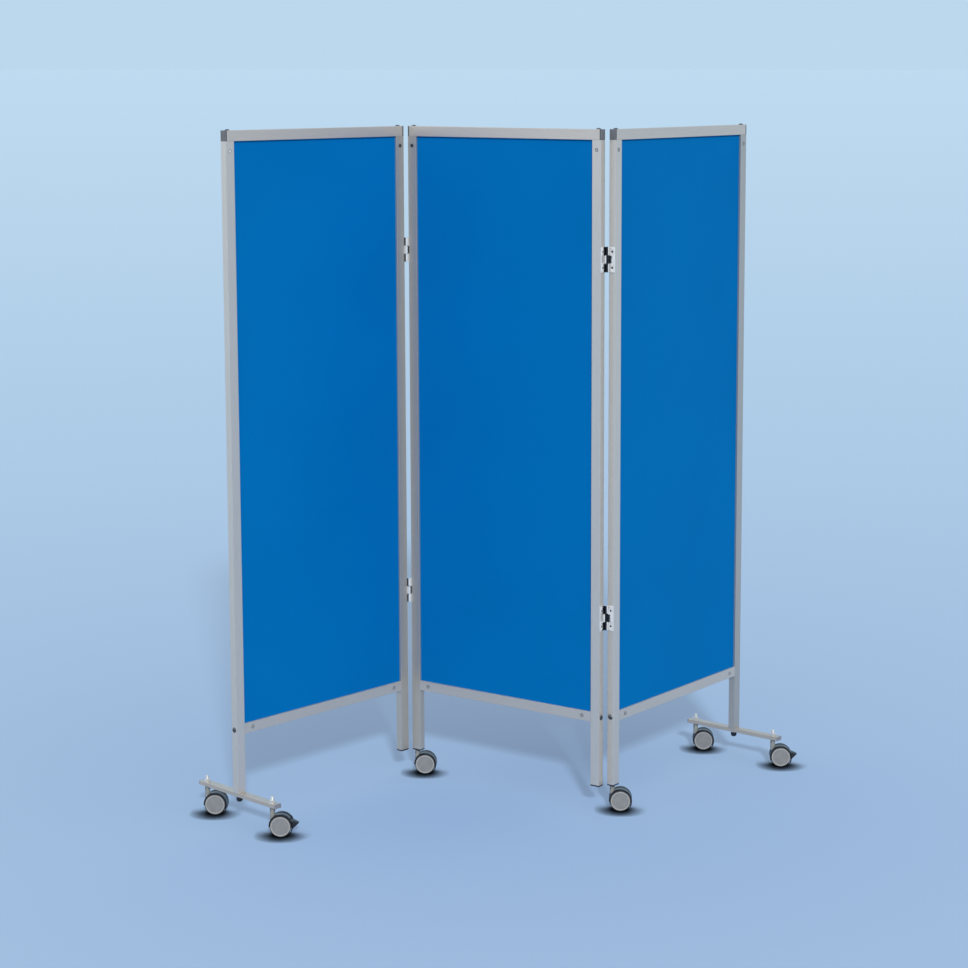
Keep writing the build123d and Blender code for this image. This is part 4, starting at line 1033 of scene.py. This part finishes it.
def floor():
    """A very wide round floor. Its blue goes from near to far by reach / (reach + distance), which reads as an
    even change up the picture, and it lights the screen from below as a neutral grey. A share of its blue is its
    own, for the background's rays alone, so its shadows stay soft; they are deep only where something touches it."""
    finish = Finish("floor_pale_blue", NEAR_BLUE, 0.9, specular=0.0)
    length = finish.nodes.new("ShaderNodeVectorMath")
    length.operation = "LENGTH"
    finish.links.new(finish.coordinates, length.inputs[0])
    distance = finish.sums("ADD", length.outputs["Value"], GRADIENT_REACH)
    blue = finish.colours(finish.sums("DIVIDE", GRADIENT_REACH, distance), FAR_BLUE, NEAR_BLUE)
    touch = finish.nodes.new("ShaderNodeAmbientOcclusion")
    touch.samples = CONTACT_SAMPLES
    touch.inputs["Distance"].default_value = CONTACT_REACH
    lean = finish.nodes.new("ShaderNodeCombineXYZ")
    for socket, value in zip(lean.inputs, CONTACT_LEAN):
        socket.default_value = value
    finish.links.new(lean.outputs["Vector"], touch.inputs["Normal"])
    contact = finish.sums("POWER", touch.outputs["AO"], CONTACT_POWER)

    def shaded(tint, strength):
        """The blue, tinted and scaled, and darkened by a painted contact shadow where something touches the floor.
        """
        tinted = finish.nodes.new("ShaderNodeVectorMath")
        tinted.operation = "MULTIPLY"
        tinted.inputs[1].default_value = tuple(np.array(tint) * strength)
        finish.links.new(blue, tinted.inputs[0])
        scaled = finish.nodes.new("ShaderNodeVectorMath")
        scaled.operation = "SCALE"
        finish.links.new(tinted.outputs["Vector"], scaled.inputs[0])
        finish.links.new(contact, scaled.inputs["Scale"])
        return scaled.outputs["Vector"]

    lit_tint = (1 - FLOOR_OWN_SHARE * np.array(SHADOW_TINT)) / (1 - FLOOR_OWN_SHARE)
    background = background_rays(finish.nodes, finish.links)
    bounce = finish.nodes.new("ShaderNodeMix")
    bounce.data_type = "RGBA"
    bounce.inputs["A"].default_value = FLOOR_BOUNCE
    finish.links.new(background, bounce.inputs["Factor"])
    finish.links.new(shaded(lit_tint, (1 - FLOOR_OWN_SHARE) / FLOOR_LIGHT), bounce.inputs["B"])
    finish.links.new(bounce.outputs["Result"], finish.shader.inputs["Base Color"])
    finish.links.new(shaded(SHADOW_TINT, FLOOR_OWN_SHARE), finish.shader.inputs["Emission Color"])
    finish.links.new(background, finish.shader.inputs["Emission Strength"])
    finish.material.cycles.emission_sampling = "NONE"
    rings = lathe([(radius, 0) for radius in FLOOR_RADII], 96)
    made = placed("floor", Shape().add(rings[:, ::-1], around=True).mesh("floor", [finish.material]))


def background_rays(nodes, links):
    """1 for rays from the camera, from gloss and through glass, and 0 for the light on the object."""
    paths = nodes.new("ShaderNodeLightPath")
    total = paths.outputs["Is Camera Ray"]
    for ray in ("Is Glossy Ray", "Is Transmission Ray"):
        either = nodes.new("ShaderNodeMath")
        either.operation = "MAXIMUM"
        links.new(total, either.inputs[0])
        links.new(paths.outputs[ray], either.inputs[1])
        total = either.outputs["Value"]
    return total


def world_light():
    """Neutral light from all round. The camera, gloss and glass see the pale backdrop, and gloss also sees the
    neutral studio: its lighter sides and the dark room in front of the screen."""
    world = bpy.data.worlds.new("studio")
    bpy.context.scene.world = world
    world.use_nodes = True
    nodes, links = world.node_tree.nodes, world.node_tree.links
    nodes.clear()
    light = nodes.new("ShaderNodeBackground")
    light.inputs["Color"].default_value = (1, 1, 1, 1)
    light.inputs["Strength"].default_value = WORLD_STRENGTH
    direction = nodes.new("ShaderNodeSeparateXYZ")
    links.new(nodes.new("ShaderNodeTexCoord").outputs["Generated"], direction.inputs["Vector"])
    ramp = nodes.new("ShaderNodeValToRGB")
    depth = nodes.new("ShaderNodeMapRange")
    depth.inputs["From Min"].default_value = -1
    links.new(direction.outputs["Y"], depth.inputs["Value"])
    links.new(depth.outputs["Result"], ramp.inputs["Fac"])
    while len(ramp.color_ramp.elements) < len(STUDIO):
        ramp.color_ramp.elements.new(0.5)
    for element, (place, colour) in zip(ramp.color_ramp.elements, STUDIO):
        element.position = place
        element.color = colour
    glossy = nodes.new("ShaderNodeLightPath").outputs["Is Glossy Ray"]
    backdrop = nodes.new("ShaderNodeMix")
    backdrop.data_type = "RGBA"
    backdrop.inputs["A"].default_value = FAR_BLUE
    links.new(glossy, backdrop.inputs["Factor"])
    links.new(ramp.outputs["Color"], backdrop.inputs["B"])
    seen = nodes.new("ShaderNodeBackground")
    links.new(backdrop.outputs["Result"], seen.inputs["Color"])
    side = nodes.new("ShaderNodeMapRange")
    side.inputs["From Min"].default_value = -1
    side.inputs["To Min"].default_value, side.inputs["To Max"].default_value = STUDIO_SIDES
    links.new(direction.outputs["X"], side.inputs["Value"])
    strength = nodes.new("ShaderNodeMix")
    strength.inputs["A"].default_value = 1.0
    links.new(glossy, strength.inputs["Factor"])
    links.new(side.outputs["Result"], strength.inputs["B"])
    links.new(strength.outputs["Result"], seen.inputs["Strength"])
    mix = nodes.new("ShaderNodeMixShader")
    links.new(background_rays(nodes, links), mix.inputs["Fac"])
    links.new(light.outputs["Background"], mix.inputs[1])
    links.new(seen.outputs["Background"], mix.inputs[2])
    links.new(mix.outputs["Shader"], nodes.new("ShaderNodeOutputWorld").inputs["Surface"])


def sun():
    """A soft sun from an azimuth (degrees right of the front) and elevation."""
    lamp = bpy.data.lights.new("front", "SUN")
    lamp.energy = SUN_STRENGTH
    lamp.angle = math.radians(SUN_ANGLE)
    az, el = math.radians(SUN_AZIMUTH), math.radians(SUN_ELEVATION)
    towards = Vector((math.sin(az) * math.cos(el), -math.cos(az) * math.cos(el), math.sin(el)))
    placed("front", lamp).rotation_euler = towards.to_track_quat("Z", "Y").to_euler()


def camera():
    """The photograph's viewpoint. The shift puts the picture's own centre at the named pixel."""
    lens = bpy.data.cameras.new("camera")
    lens.sensor_fit = "HORIZONTAL"
    lens.sensor_width = SENSOR
    lens.lens = FOCAL_PIXELS / PICTURE * SENSOR
    lens.shift_x = (PICTURE / 2 - CENTRE_PIXEL[0]) / PICTURE
    lens.shift_y = (CENTRE_PIXEL[1] - PICTURE / 2) / PICTURE
    lens.clip_end = CLIP_END
    made = placed("camera", lens)
    made.location = CAMERA_PLACE
    made.rotation_euler = (math.radians(90 - CAMERA_PITCH), 0, math.radians(CAMERA_TURN))
    bpy.context.scene.camera = made


build_object()
floor()
world_light()
sun()
camera()
bpy.context.scene.view_settings.view_transform = "Standard"
